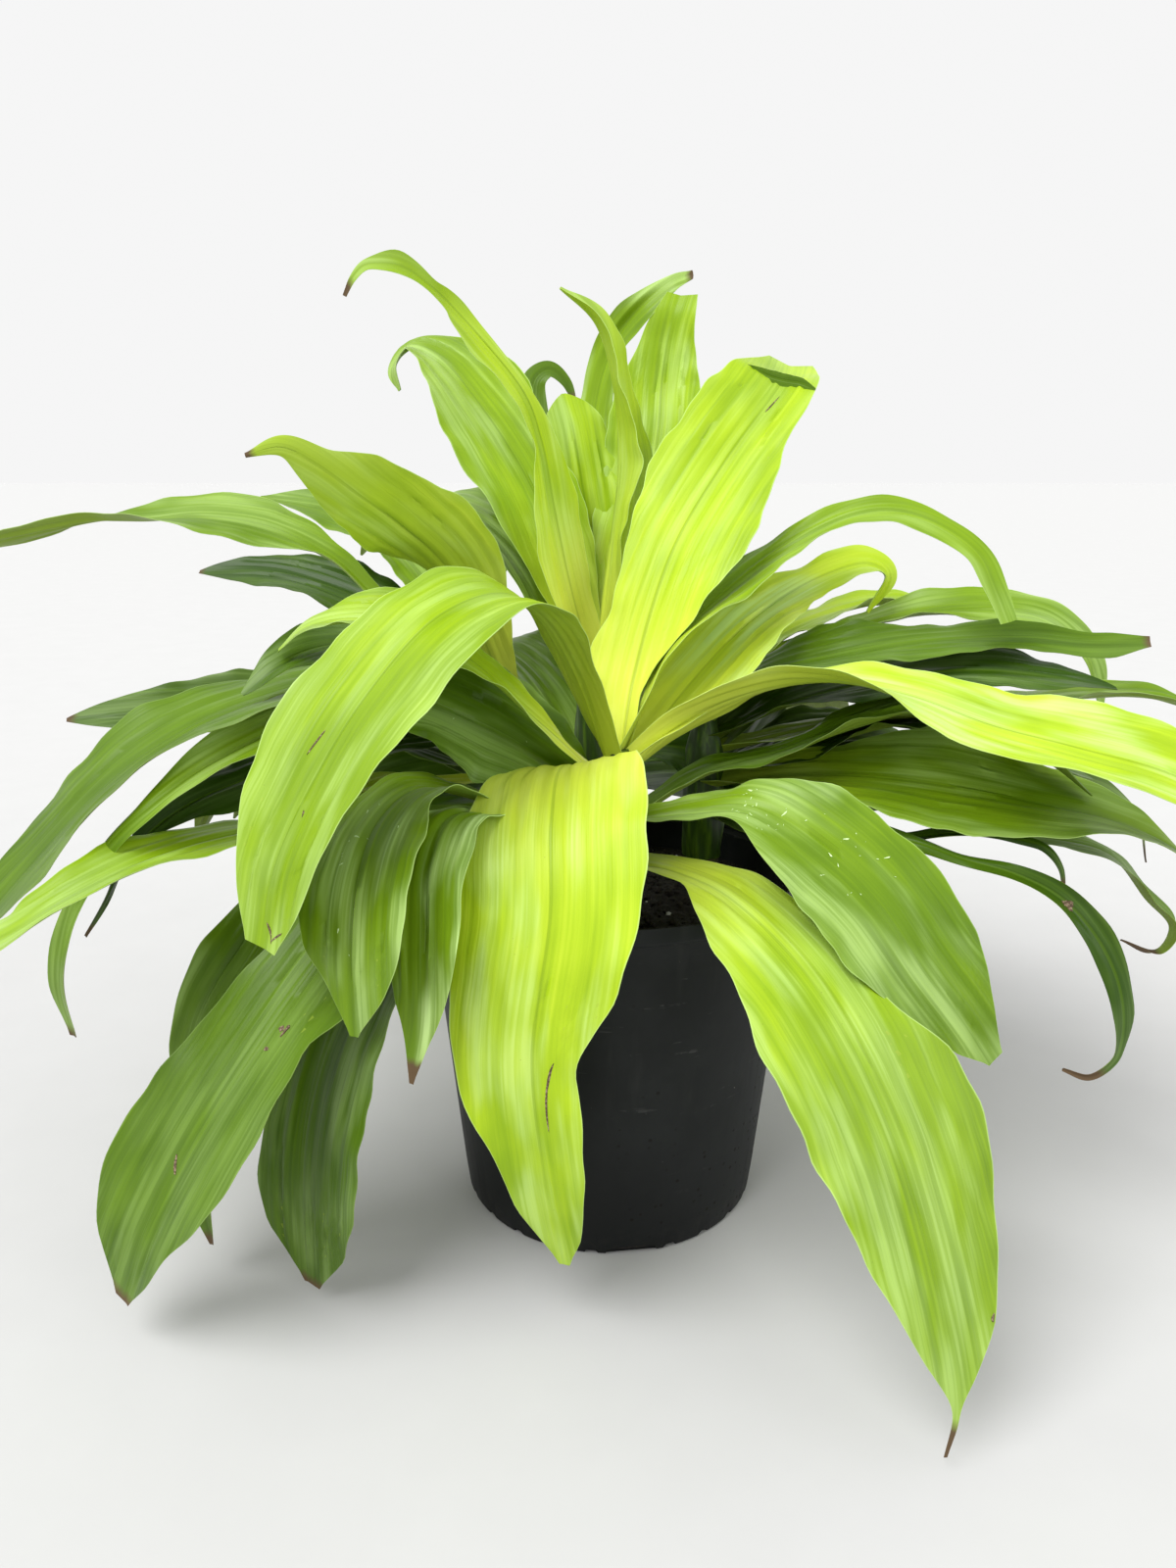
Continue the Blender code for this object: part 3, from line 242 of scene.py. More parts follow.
LEFT_LEAVES = [
    leaf((-7, 3.5, 34), (-10, 0, 42.2), (-12.5, -4, 45.5), (-14.3, -7, 47.3), (-16.2, -9, 49), (-17.7, -10,
         49.8), (-19.6, -10, 49.4), turn=(-10, -45, -80), ripple=2, margins=((1, 1.4, 2, 2.7, 3.3, 3.6, 3.7,
         3.2, 2.8, 2.4, 1, 0.7, 0.1), (1, 1.2, 1.3, 1.4, 1.2, 1.5, 2.7, 2.8, 2.4, 2, 1.4, 0.5, 0.1)),
         tone=1, dry=0.98),
    leaf((-7, 4, 34), (-12.2, 5, 37.3), (-15.7, 5, 40.1), (-18.4, 4.5, 42.9), (-22.4, 4, 45), (-26.6, 3.5,
         45.7), (-30, 3, 45.5), (-33.5, 3, 45.4), (-37.7, 3, 44.6), (-41.6, 3, 43.6), turn=(0, 30, -40),
         margins=both(1, 0.8, 0.7, 0.7, 0.8, 1.1, 2.3, 2.9, 2.8, 2.1, 1.1, 1.4, 1.3, 0.3), tone=0.68),
    leaf((-7, 4, 33), (-14.5, 10, 37.8), (-20.2, 13, 40), (-25.4, 15, 41.1), (-31.2, 16, 41), width=6,
         turn=(0, 20, 35), tone=0.32, dry=0.985, bloom=0.3),
    leaf((-7, 4.5, 34), (-14.5, 13, 42.8), (-20.7, 16, 45.6), (-26.7, 18, 46.5), width=6, turn=(0, 20, 20),
         tone=0.68),
    leaf((-7, 3.5, 33.3), (-13.5, 0.5, 37.5), (-17.7, -3, 38.2), (-20.2, -5, 37.3), (-22, -6, 35.8),
         turn=(0, 25, 25), width=4.5, tone=0.42),
    leaf((-7, 4, 31), (-19.5, 9, 33), (-27.2, 9, 31.8), (-33.5, 8, 31.8), (-38.6, 7, 31.4), width=6.8,
         turn=(0, 35, 45), tone=0.44, dry=0.98),
    leaf((-7, 3.5, 31.5), (-12.5, 1.5, 34.8), (-18, -1.5, 35.7), (-21.7, -4.5, 35.1), (-24.7, -6.5, 34.1),
         (-27.5, -8, 32.5), (-30.3, -9, 30.2), (-33.4, -9.5, 27), (-36.2, -10, 24), (-39.1, -10.5, 20.7),
         width=8.5, widest=0.6, turn=(0, 0, 10), tone=0.52, bloom=0.3),
    leaf((-7, 3, 31.5), (-12, -1, 35.2), (-17.5, -4.5, 34.7), (-20.8, -8, 33.5), (-23.6, -10.5, 32.2), (-26,
         -12, 30.5), (-28.3, -12, 28.5), (-29.8, -12, 26.2), (-31, -12.2, 23.8), (-32, -12.2, 20), (-31.7,
         -12, 16.6), turn=(0, 25, 30), margins=both(1, 1.5, 2.2, 2.8, 2.8, 2.4, 1.9, 1.5, 1.1, 0.7, 0.5,
         0.5, 0.8, 0.9, 0.3), tone=0.68, dry=0.985),
    leaf((-7, 3, 30), (-12, -1, 32.4), (-20.2, -4.5, 31.2), (-22.4, -6.5, 30.6), (-24.5, -7.6, 29.9),
         (-26.7, -8.6, 28.6), (-28.9, -9, 26.2), (-30.1, -9.2, 24), (-31.6, -9.2, 21.7), turn=(0, 25, 35),
         margins=((1, 1.6, 2.2, 2.8, 3.2, 3.3, 3, 2.4, 1.6, 0.9, 0.5, 0.3, 0.1), (1, 1.4, 1.7, 2, 2.2, 2.2,
         2, 1.6, 1.1, 0.7, 0.4, 0.3, 0.1)), tone=0.2, dry=0.97),
    leaf((-7, 3, 28), (-13.9, -3, 29.2), (-18.4, -6.5, 28), (-22.6, -9, 28), (-26, -12.3, 27.7), (-29.3,
         -15.5, 26.6), (-32.2, -16.5, 25), (-35.3, -15.5, 23.4), (-37.5, -14.5, 21.8), (-37, -13.5, 20),
         width=4.5, taper=3, tone=0.86, dry=0.95),
    leaf((-7, 3, 26), (-16.5, -2, 25), (-20.8, -5, 21.5), (-22.6, -7, 19), (-24.6, -9, 15.5), (-25.6, -11,
         8), (-25, -11.6, 2), turn=(0, 20, 20), tone=0.55, dry=0.975),
    arching("left", 156, 29, 20, 84, length=33, width=7, tone=0.4),
    arching("left", 150, 27.5, 20, 74, length=30, width=7, tone=0.34),
    arching("left", 136, 26.5, 24, 96, length=42, width=8, tone=0.36, dry=0.97),
]

RIGHT_LEAVES = [
    leaf((6.5, 3, 27.5), (11, 0.5, 29), (16, -1, 29.4), (21.5, -3, 29.2), (26.4, -4.5, 28.6), (30.5, -5,
         27.8), (33.8, -5.5, 26.5), (36.2, -5.5, 25), width=8.5, turn=(0, -35, 0), tone=0.74, dry=0.985),
    leaf((6.5, 3.5, 31.5), (10, 3, 35.2), (14.6, 2, 36.8), (20.7, 2, 37.8), (27.2, 2, 38), (31, 1, 37.8),
         (34.6, 0.5, 38), turn=(0, -25, -55), margins=((1, 1.8, 2.6, 3.1, 3.2, 2.8, 2, 1.7, 1.5, 1.3, 1,
         0.8, 0.8, 0.3), (1, 1.8, 2.6, 3.1, 3.2, 2.8, 2.1, 1.8, 1.7, 1.6, 1.4, 1.1, 1.2, 0.4)), tone=0.5,
         dry=0.985, bloom=0.3),
    leaf((6.5, 3.5, 30.5), (11.7, 3, 33.3), (18, 2, 35.2), (24, 1, 36), (28.7, 0, 35.7), (32.6, 0, 35),
         width=6, turn=(0, -20, -20), tone=0.3),
    leaf((6.5, 4, 31.5), (12.5, 7.5, 36), (19.4, 8.5, 38.3), (26, 8, 39.3), (30.5, 7, 38.8), (33.3, 6, 36),
         (34.3, 5.5, 32.4), turn=(0, -15, -55), width=4.4, tone=0.72),
    leaf((6.5, 4, 29.5), (15.3, 4, 31.7), (25, 3, 33), (31, 2, 34), (35.7, 1, 34.2), (40.6, 0, 32.6),
         tone=0.7),
    leaf((6.5, 4.5, 31), (12.5, 12, 36.5), (19, 14, 38.6), (24, 14, 38.7), (28.5, 13, 37.5), width=6,
         tone=1),
    leaf((6.5, 3, 26.5), (12.5, -2, 26.6), (18.6, -6, 26.6), (21.4, -7, 25.8), (24, -8, 25.3), (26.6, -8.7,
         24.1), (28.8, -9, 21.9), (30.5, -9, 19.1), (31.3, -9, 16.5), (31.4, -9, 14.5), (31.1, -9, 13.3),
         (29.7, -9, 12.2), (28, -9, 12.7), margins=((1, 1.1, 1.2, 1.2, 1.1, 0.9, 0.7, 0.5, 0.45, 0.55, 0.6,
         0.7, 0.9, 1, 0.9, 0.8, 0.3, 0.25, 0.1), (1, 1.1, 1.2, 1.2, 1.1, 0.9, 0.7, 0.5, 0.45, 0.55, 0.6,
         0.7, 0.8, 0.9, 0.8, 0.7, 0.3, 0.25, 0.1)), turn=(0, -45, -80), tone=0.36, dry=0.93),
    leaf((6.5, 3.5, 27), (18.5, 2.5, 26.5), (27, 0, 25.2), (32.4, -2, 24.5), (34.8, -3, 21.8), (36.4, -3.5,
         20), (35.7, -3.5, 18.3), (33.3, -3.5, 19), width=4.5, tone=0.56, dry=0.93),
    leaf((6.5, 4, 27.5), (19.4, 6, 27.7), (29.6, 5, 27.2), (34, 4, 27), (36.5, 3, 25.3), (37.3, 2.5, 22.3),
         width=6, tone=0.48, dry=0.96),
    leaf((6.5, 3, 25.5), (14, -0.5, 24.9), (23.1, -4.5, 26.7), (25.2, -5.5, 26.6), (26.5, -6.3, 26.3),
         (27.5, -6.5, 25.1), (27.9, -6.5, 23.2), margins=((1, 1.1, 1, 0.9, 0.7, 0.5, 0.4, 0.35, 0.3, 0.1),
         (1, 1.1, 1, 0.9, 0.7, 0.5, 0.4, 0.3, 0.25, 0.1)), turn=(0, -40, -60), tone=0.35, dry=0.95),
    leaf((6.5, 4, 30), (10.9, 6.5, 33), (16, 9, 33.8), (21, 11, 33.5), width=6, tone=0.3),
    leaf((6.5, 3.5, 28.5), (12, 3, 29.5), (17, 4, 31.2), (22, 3, 32.1), (28.2, 1, 30.2), (32, 0.5, 28.8),
         width=6, tone=0.4),
    leaf((6.5, 4, 28.7), (12, 7.5, 30.2), (17, 9, 30.7), (23, 9.5, 30.3), (30, 9.5, 28.5), tone=0.3),
    arching("right", 47, 29, 36, 96, width=7, tone=0.5),
    arching("right", 24, 27, 20, 62, length=30, width=7, tone=0.4, dry=0.97),
    arching("right", 64, 27.5, 30, 100, length=40, width=8, tone=0.36),
]
LEAVES = {"front": FRONT_LEAVES, "back": BACK_LEAVES, "left": LEFT_LEAVES, "right": RIGHT_LEAVES}

# The pot
POT_HEIGHT = 0.235
POT_BASE_RADIUS = 0.1005
POT_TOP_RADIUS = 0.123
POT_WALL = 0.0022
POT_FLOOR = 0.003
RIM_RADIUS = 0.127
RIM_HEIGHT = 0.012
RIM_STEP = 0.002
NOTCHES = 24
NOTCH_WIDTH = 0.0085
NOTCH_HEIGHT = 0.004
NOTCH_DEPTH = 0.0045
NOTCH_DROP = 0.01
ARCH_WIDTH = 0.033
ARCH_HEIGHT = 0.0065
ARCH_ANGLE = math.radians(-86)
# The pot's rounded edges in millimetres: how far each point lies in from the foot's or rim's radius,
# and how far it lies above the foot, above the rim's step or below the top
FOOT_ROUND = ((3, 0), (1.1, 0.8), (0.2, 2.2))
STEP_ROUND = ((0.8, 1.4), (0.1, 2.4), (0, 4))
TOP_ROUND = ((0, 1.2), (0.4, 0.3), (1.1, 0))
POT_RINGS = 12
NOTCH_STEPS = 9

# The soil, the lumps in its top, and what is strewn on it
SOIL_FOOT = 0.0033
SOIL_TOP = 0.205
SOIL_GAP = 0.0003
SOIL_WAVES = (70, 90)
SOIL_RELIEF = 0.003
SOIL_RINGS = 60
SOIL_SIDES = 120
CRUMB_SIZES = (0.0008, 0.004)
GRIT_SIZES = (0.0012, 0.0028)
STREWN_INSET = 0.006
LUMP_WAVES = (413, 60, 371)
LUMP_RELIEF = 0.0012
STEM_DIP = 0.004

# Stems and cores
STEM_SIDES = 40
STEM_RINGS = 60
CORE_RINGS = 40
CORE_RIPPLE = 0.0006
STEM_TAPER = 0.05
STEM_INSET = 0.0007
SCAR_PITCH = 0.0052
SCAR_HEIGHT = 0.0006

# Colours inside the paints
DEEPEST_GREEN = (0.01, 0.03, 0.002)
SCAR_MIDDLE = (0.07, 0.045, 0.022)
SCAR_EDGE = (0.4, 0.3, 0.2)
WATER_FILM = (0.66, 0.78, 0.5)
MOSS = (0.12, 0.16, 0.04)
SHEATH_SHADE = (0.02, 0.04, 0.005)
DUST_RUN = (0.06, 0.062, 0.06)
SCUFF = (0.13, 0.13, 0.125)
FOOT_DUST = (0.08, 0.07, 0.055)
SPLASH = (0.008, 0.006, 0.004)
PALE_SPECK = (0.25, 0.23, 0.19)
FIBRE = (0.09, 0.06, 0.035)
GRIT_PORE = (0.35, 0.34, 0.31)
GRIT = (0.8, 0.79, 0.75)

# Scars on the leaves: crown, number of the leaf, share along it, place across it from -1 to 1, length
# and width in centimetres, the angle at which it lies to the midrib in degrees, and how far it bows
Scar = namedtuple("Scar", "crown number along across length width lean bow")
SCARS = [
    Scar("front", 0, 0.70, -0.28, 4.4, 0.11, 8, -0.05),
    Scar("front", 10, 0.57, -0.30, 0.75, 0.5, 20, 0),
    Scar("front", 10, 0.60, -0.22, 0.3, 0.2, 60, 0),
    Scar("front", 10, 0.78, 0.10, 1.1, 0.2, -30, 0),
    Scar("front", 1, 0.72, 0.25, 1.6, 0.10, 10, 0),
    Scar("front", 1, 0.82, -0.10, 1.1, 0.09, -14, 0),
    Scar("front", 1, 0.975, -0.2, 1.2, 0.12, -35, 0),
    Scar("front", 1, 0.975, -0.6, 1.0, 0.12, 40, 0),
    Scar("front", 2, 0.8, 0.14, 1.6, 0.09, 8, 0),
    Scar("front", 3, 0.86, -0.93, 0.35, 0.2, 0, 0),
    Scar("front", 5, 0.36, 0.72, 1.1, 0.3, 8, 0),
    Scar("right", 6, 0.62, 0.1, 0.8, 0.5, 0, 0),
    Scar("left", 0, 0.63, -0.35, 2.6, 0.1, 6, 0.08),
]
# Dried water on the leaves: crown, number of the leaf, flecks, where they begin and end along it
FLECKS = (("front", 4, 46, 0.3, 0.62), ("front", 8, 14, 0.45, 0.85), ("front", 13, 8, 0.3, 0.8))
# The lip that stands across the blunt end of the tallest front leaf, made as a tiny leaf of its own; its
# darker green is painted shade inside the curl
TALLEST = 2
SHADED_LIP = leaf((9.4, 10.5, 55.5), (10.6, 9.9, 54.8), (11.8, 9.3, 54.4), (12.8, 8.8, 54.2), (13.7, 8.1, 53.8),
           turn=(-90, -90, -90), fold=0, ripple=0.2, margins=((0.05, 0.34, 0.46, 0.44, 0.34, 0.05),
           (0.05, 0.4, 0.5, 0.44, 0.34, 0.05)), tone=0.55, bloom=0)


# Leaf shape

def lengths(points):
    """How far each point lies from the first along the line through them"""
    return np.concatenate([[0.0], np.cumsum(np.linalg.norm(np.diff(points, axis=0), axis=1))])


def wave(t, waves, shift):
    """A wave that runs the given number of times along a leaf"""
    return np.sin(2 * np.pi * waves * t + shift)


def smooth_route(points, count):
    """Points spaced evenly along the smooth curve through the given points"""
    points = np.asarray(points, float)
    padded = np.vstack([2 * points[0] - points[1], points, 2 * points[-1] - points[-2]])
    knots = np.concatenate([[0.0], np.cumsum(np.sqrt(np.linalg.norm(np.diff(padded, axis=0), axis=1)))])
    fine = []
    for i in range(1, len(padded) - 2):
        k0, k1, k2, k3 = knots[i - 1:i + 3]
        k = np.linspace(k1, k2, CURVE_STEPS, endpoint=i == len(padded) - 3)[:, None]
        a1 = (k1 - k) / (k1 - k0) * padded[i - 1] + (k - k0) / (k1 - k0) * padded[i]
        a2 = (k2 - k) / (k2 - k1) * padded[i] + (k - k1) / (k2 - k1) * padded[i + 1]
        a3 = (k3 - k) / (k3 - k2) * padded[i + 1] + (k - k2) / (k3 - k2) * padded[i + 2]
        b1 = (k2 - k) / (k2 - k0) * a1 + (k - k0) / (k2 - k0) * a2
        b2 = (k3 - k) / (k3 - k1) * a2 + (k - k1) / (k3 - k1) * a3
        fine.append((k2 - k) / (k2 - k1) * b1 + (k - k1) / (k2 - k1) * b2)
    fine = np.vstack(fine)
    length = lengths(fine)
    even = np.linspace(0, length[-1], count)
    return np.column_stack([np.interp(even, length, fine[:, axis]) for axis in range(3)])


def route_length(one):
    """The length of a leaf in centimetres"""
    return lengths(smooth_route(one.route, LENGTH_STEPS))[-1]


def unit(vectors):
    """The vectors at length one"""
    return vectors / np.linalg.norm(vectors, axis=-1, keepdims=True)


def blade_frames(one, count):
    """Centre, side and face directions at even stations along a leaf, carried along without twist"""
    centre = smooth_route(one.route, count) * CM
    along = unit(np.gradient(centre, axis=0))
    outward = centre[-1] - centre[0]
    outward[2] = 0
    side = np.cross(unit(outward), (0, 0, 1))
    sides = []
    for direction in along:
        side = unit(side - np.dot(side, direction) * direction)
        sides.append(side)
    sides = np.array(sides)
    faces = np.cross(sides, along)
    angle = np.radians(np.interp(np.linspace(0, 1, count), (0, 0.5, 1), one.turn))[:, None]
    across = sides * np.cos(angle) + faces * np.sin(angle)
    return centre, across, np.cross(across, along)


def bend_shares(one, count):
    """Shares along a leaf, closer together where it bends"""
    steps = np.linspace(0, 1, ROUTE_STEPS)
    bending = lengths(unit(np.gradient(smooth_route(one.route, ROUTE_STEPS), axis=0)))
    weight = steps + BEND_WEIGHT * bending
    return np.interp(np.linspace(0, weight[-1], count), weight, steps)


def blade_width(one, t):
    """The widths of a blade at the shares t of its length: narrow at the stem, widest further out"""
    full = one.width * CM
    swell = np.sin(np.pi / 2 * np.minimum(t / one.widest, 1)) ** BASE_FLARE
    share = np.maximum((t - one.widest) / (1 - one.widest), 0)
    rising = BASE_WIDTH + (full - BASE_WIDTH) * swell
    falling = TIP_WIDTH + (full - TIP_WIDTH) * (1 - share ** one.taper)
    return np.where(t < one.widest, rising, falling)


def margin_reach(margin, t):
    """How far a listed margin lies from the midrib at the shares t, with its corners rounded"""
    steps = np.linspace(0, 1, ROUTE_STEPS + 1)
    fine = np.interp(steps, np.linspace(0, 1, len(margin)), margin)
    window = np.hanning(MARGIN_WINDOW)[1:-1]
    padded = np.pad(fine, len(window) // 2, mode="edge")
    return CM * np.interp(t, steps, np.convolve(padded, window / window.sum(), mode="valid"))


def blade_reach(one, number, t, u):
    """How far the margin on the side of u lies from the midrib at the shares t"""
    phase = number + np.where(u > 0, 2.0, 0.0)
    waver = 0.35 * wave(t, MIDDLE_WAVER, 2 * phase) + 0.25 * wave(t, FINE_WAVER, 5 * phase)
    if one.margins:
        half = np.where(u > 0, margin_reach(one.margins[1], t), margin_reach(one.margins[0], t))
    else:
        half = blade_width(one, t) / 2
        waver += wave(t, BROAD_WAVER, phase)
    return half * (1 + WAVER * waver * np.sin(np.pi * t))


def blade_points(one, number, t, u, look):
    """Points on a blade's upper face at shares t along it and u across it, with its true normals"""
    centre, side, face = blade_frames(one, ROUTE_STEPS)
    steps = np.linspace(0, 1, ROUTE_STEPS)

    def at(values, t):
        return np.stack([np.interp(t, steps, values[:, axis]) for axis in range(3)], axis=-1)

    def surface(t, u):
        half = blade_reach(one, number, t, u)
        swell = np.sin(np.pi * np.clip(t, 0, 1)) ** RIPPLE_SWELL
        phase = number * RIPPLE_STEP + np.where(u > 0, RIPPLE_SHIFT, 0)
        ripple = one.ripple * MM * swell * u * u * wave(t, RIPPLE_WAVES, phase)
        slim = np.clip(half / SLIM, 0, 1) ** 2
        crimp = wave(t, BROAD_CRIMP, 2.1 * phase + 2 * u) + 0.6 * wave(t, FINE_CRIMP, 4 * phase)
        crimp = look.crimp * swell * slim * np.abs(u) ** 3 * crimp
        pleat = pleats(number, t, u * half, look) * slim * (1 - u ** 4)
        clasp = np.clip(1 - t / CLASP, 0, 1) ** 2
        fold = np.radians(one.fold) * (1 - clasp) + CLASP_FOLD * clasp
        bent = np.sqrt(u * u + FOLD_ROUND) - math.sqrt(FOLD_ROUND)
        out = half * u * np.cos(fold)
        lift = half * bent * np.sin(fold) + ripple + crimp + pleat
        return at(centre, t) + at(side, t) * out[..., None] + at(face, t) * lift[..., None]

    along = surface(np.clip(t + NEAR, 0, 1), u) - surface(np.clip(t - NEAR, 0, 1), u)
    across = surface(t, u + NEAR) - surface(t, u - NEAR)
    return surface(t, u), unit(np.cross(across, along))


def pleats(number, t, spread, look):
    """The height of the lengthwise pleats, which come and go along the leaf"""
    height = np.zeros_like(spread)
    for k, (breadth, share) in enumerate(PLEATS):
        fade = 0.5 + 0.5 * wave(t, 1.1 + 0.7 * k, 1.9 * number + 2.3 * k)
        drift = 0.9 * np.sin(2.4 * t + number + k)
        height += share * fade * wave(spread, 1 / (breadth * MM), drift + 1.3 * number + k)
    swell = np.clip(t / 0.2, 0, 1) * np.clip((1 - t) / 0.1, 0, 1)
    return look.pleat * swell * height


def blade_mesh(name, one, number, look):
    """A leaf as one thin closed body with fine margins, which carries its own measures for its paint"""
    shares = bend_shares(one, look.stations)
    t, u = np.meshgrid(shares, np.linspace(-1, 1, look.cells + 1), indexing="ij")
    top, face = blade_points(one, number, t, u, look)
    low = top - face * (look.thickness * (1 - MARGIN_THINNING * u ** 4))[..., None]
    grid = np.arange(t.size).reshape(t.shape)
    quads = np.stack([grid[:-1, :-1], grid[:-1, 1:], grid[1:, 1:], grid[1:, :-1]], axis=-1).reshape(-1, 4)
    ring = np.concatenate([grid[:, 0], grid[-1, 1:], grid[-2::-1, -1], grid[0, -2:0:-1]])
    after = np.roll(ring, -1)
    rim = np.stack([ring, after, after + t.size, ring + t.size], axis=1)
    faces = np.vstack([quads, quads[:, ::-1] + t.size, rim])
    mesh = bpy.data.meshes.new(name)
    mesh.from_pydata(np.vstack([top.reshape(-1, 3), low.reshape(-1, 3)]).tolist(), [], faces.tolist())
    measures = {
        "along": t, "across": u, "reach": t * route_length(one),
        "spread": u * blade_reach(one, number, t, u) / CM,
        "tone": one.tone, "dry": one.dry, "bloom": one.bloom,
        "seed": number * 3.7 + len(one.route) + one.width, "underside": [[[0]], [[1]]],
    }
    for key, values in measures.items():
        layer = mesh.attributes.new(key, "FLOAT", "POINT")
        layer.data.foreach_set("value", np.broadcast_to(values, (2, *t.shape)).ravel().astype(np.float32))
    bm = bmesh.new()
    bm.from_mesh(mesh)
    bmesh.ops.recalc_face_normals(bm, faces=bm.faces)
    bm.to_mesh(mesh)
    bm.free()
    return smoothed(mesh, 60)


# Other shapes

def smoothed(mesh, degrees):
    """Shades a mesh smooth, except where its faces meet at more than the given angle"""
    mesh.shade_smooth()
    mesh.set_sharp_from_angle(angle=math.radians(degrees))
    return mesh


def built_mesh(name, bm):
    """The mesh of what was built, with its faces turned outward"""
    bmesh.ops.recalc_face_normals(bm, faces=bm.faces)
    mesh = bpy.data.meshes.new(name)
    bm.to_mesh(mesh)
    bm.free()
    return mesh


def turned(x, y, angle):
    """A place turned about the Z axis"""
    return x * math.cos(angle) - y * math.sin(angle), x * math.sin(angle) + y * math.cos(angle)


def turned_mesh(name, profile, sides, ripple=None):
    """A closed body made by turning a profile of (radius, height) round the Z axis"""
    bm = bmesh.new()
    rings = []
    for radius, height in profile:
        if radius == 0:
            rings.append([bm.verts.new((0, 0, height))])
            continue
        ring = []
        for k in range(sides):
            angle = 2 * math.pi * k / sides
            grown = radius + (ripple(angle, height) if ripple else 0)
            ring.append(bm.verts.new((*turned(grown, 0, angle), height)))
        rings.append(ring)
    for first, second in zip(rings, rings[1:]):
        for k in range(sides):
            n = (k + 1) % sides
            if len(first) == 1:
                bm.faces.new((first[0], second[n], second[k]))
            elif len(second) == 1:
                bm.faces.new((first[k], first[n], second[0]))
            else:
                bm.faces.new((first[k], first[n], second[n], second[k]))
    return built_mesh(name, bm)


def in_scene(name, data):
    """A new object in the scene that shows the data"""
    made = bpy.data.objects.new(name, data)
    bpy.context.scene.collection.objects.link(made)
    return made


def placed(name, mesh, material, slot, *nodes):
    """A finished piece in the scene: it stays with the plant and stands for the nodes given"""
    made = in_scene(name, mesh)
    made.data.materials.append(material)
    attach(made, "root")
    if nodes:
        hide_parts(*nodes)
    return made


def soil_height(x, y):
    """The height of the soil's lumpy top"""
    lump = math.sin(SOIL_WAVES[0] * x + 1) * math.cos(SOIL_WAVES[1] * y + 2)
    return SOIL_TOP + SOIL_RELIEF * lump


def in_stem(x, y, room):
    """Whether a place on the soil lies in a stem or within the room round it"""
    return any(math.hypot(x - stem.x, y - stem.y) < stem.radius + room for stem in STEMS.values())


def grains(name, draw, count, sizes, flat, inside):
    """Crumbs strewn on the soil's top: each a small rough lump, sunk a little into it"""
    bm = bmesh.new()
    for _ in range(count):
        radius = inside * math.sqrt(draw.uniform())
        x, y = turned(radius, 0, draw.uniform(0, 2 * math.pi))
        size = sizes[0] + (sizes[1] - sizes[0]) * draw.uniform() ** 2.5
        stretch = draw.uniform(flat, 1, 3) * size
        spin = draw.uniform(0, 2 * math.pi)
        if in_stem(x, y, size):
            continue
        lump = bmesh.ops.create_icosphere(bm, subdivisions=1, radius=1)
        for v in lump["verts"]:
            rough = v.co * draw.uniform(0.75, 1.1)
            across, deep = turned(rough.x * stretch[0], rough.y * stretch[1], spin)
            v.co = (x + across, y + deep, soil_height(x, y) + (rough.z + 0.3) * stretch[2])
    return built_mesh(name, bm)


def shade(colour, by):
    """The colour made darker or brighter"""
    return [c * by for c in colour]


# Paint

class Wire:
    """An output socket in a material; sums and products of wires add its Math nodes"""

    def __init__(self, paint, socket):
        self.paint = paint
        self.socket = socket

    def maths(self, operation, *values):
        return self.paint.node("ShaderNodeMath", {"operation": operation}, dict(enumerate(values)))

    def __add__(self, other):
        return self.maths("ADD", self, other)

    def __radd__(self, other):
        return self.maths("ADD", other, self)

    def __sub__(self, other):
        return self.maths("SUBTRACT", self, other)

    def __rsub__(self, other):
        return self.maths("SUBTRACT", other, self)

    def __mul__(self, other):
        return self.maths("MULTIPLY", self, other)

    def __rmul__(self, other):
        return self.maths("MULTIPLY", other, self)

    def size(self):
        return self.maths("ABSOLUTE", self)

    def rise(self, low, high):
        """0 below low, 1 above high and smooth between them; the other way round if low is the greater"""
        ends = {1: min(low, high), 2: max(low, high), 3: float(low > high), 4: float(low < high)}
        smooth = {"interpolation_type": "SMOOTHSTEP"}
        return self.paint.node("ShaderNodeMapRange", smooth, {0: self, **ends})


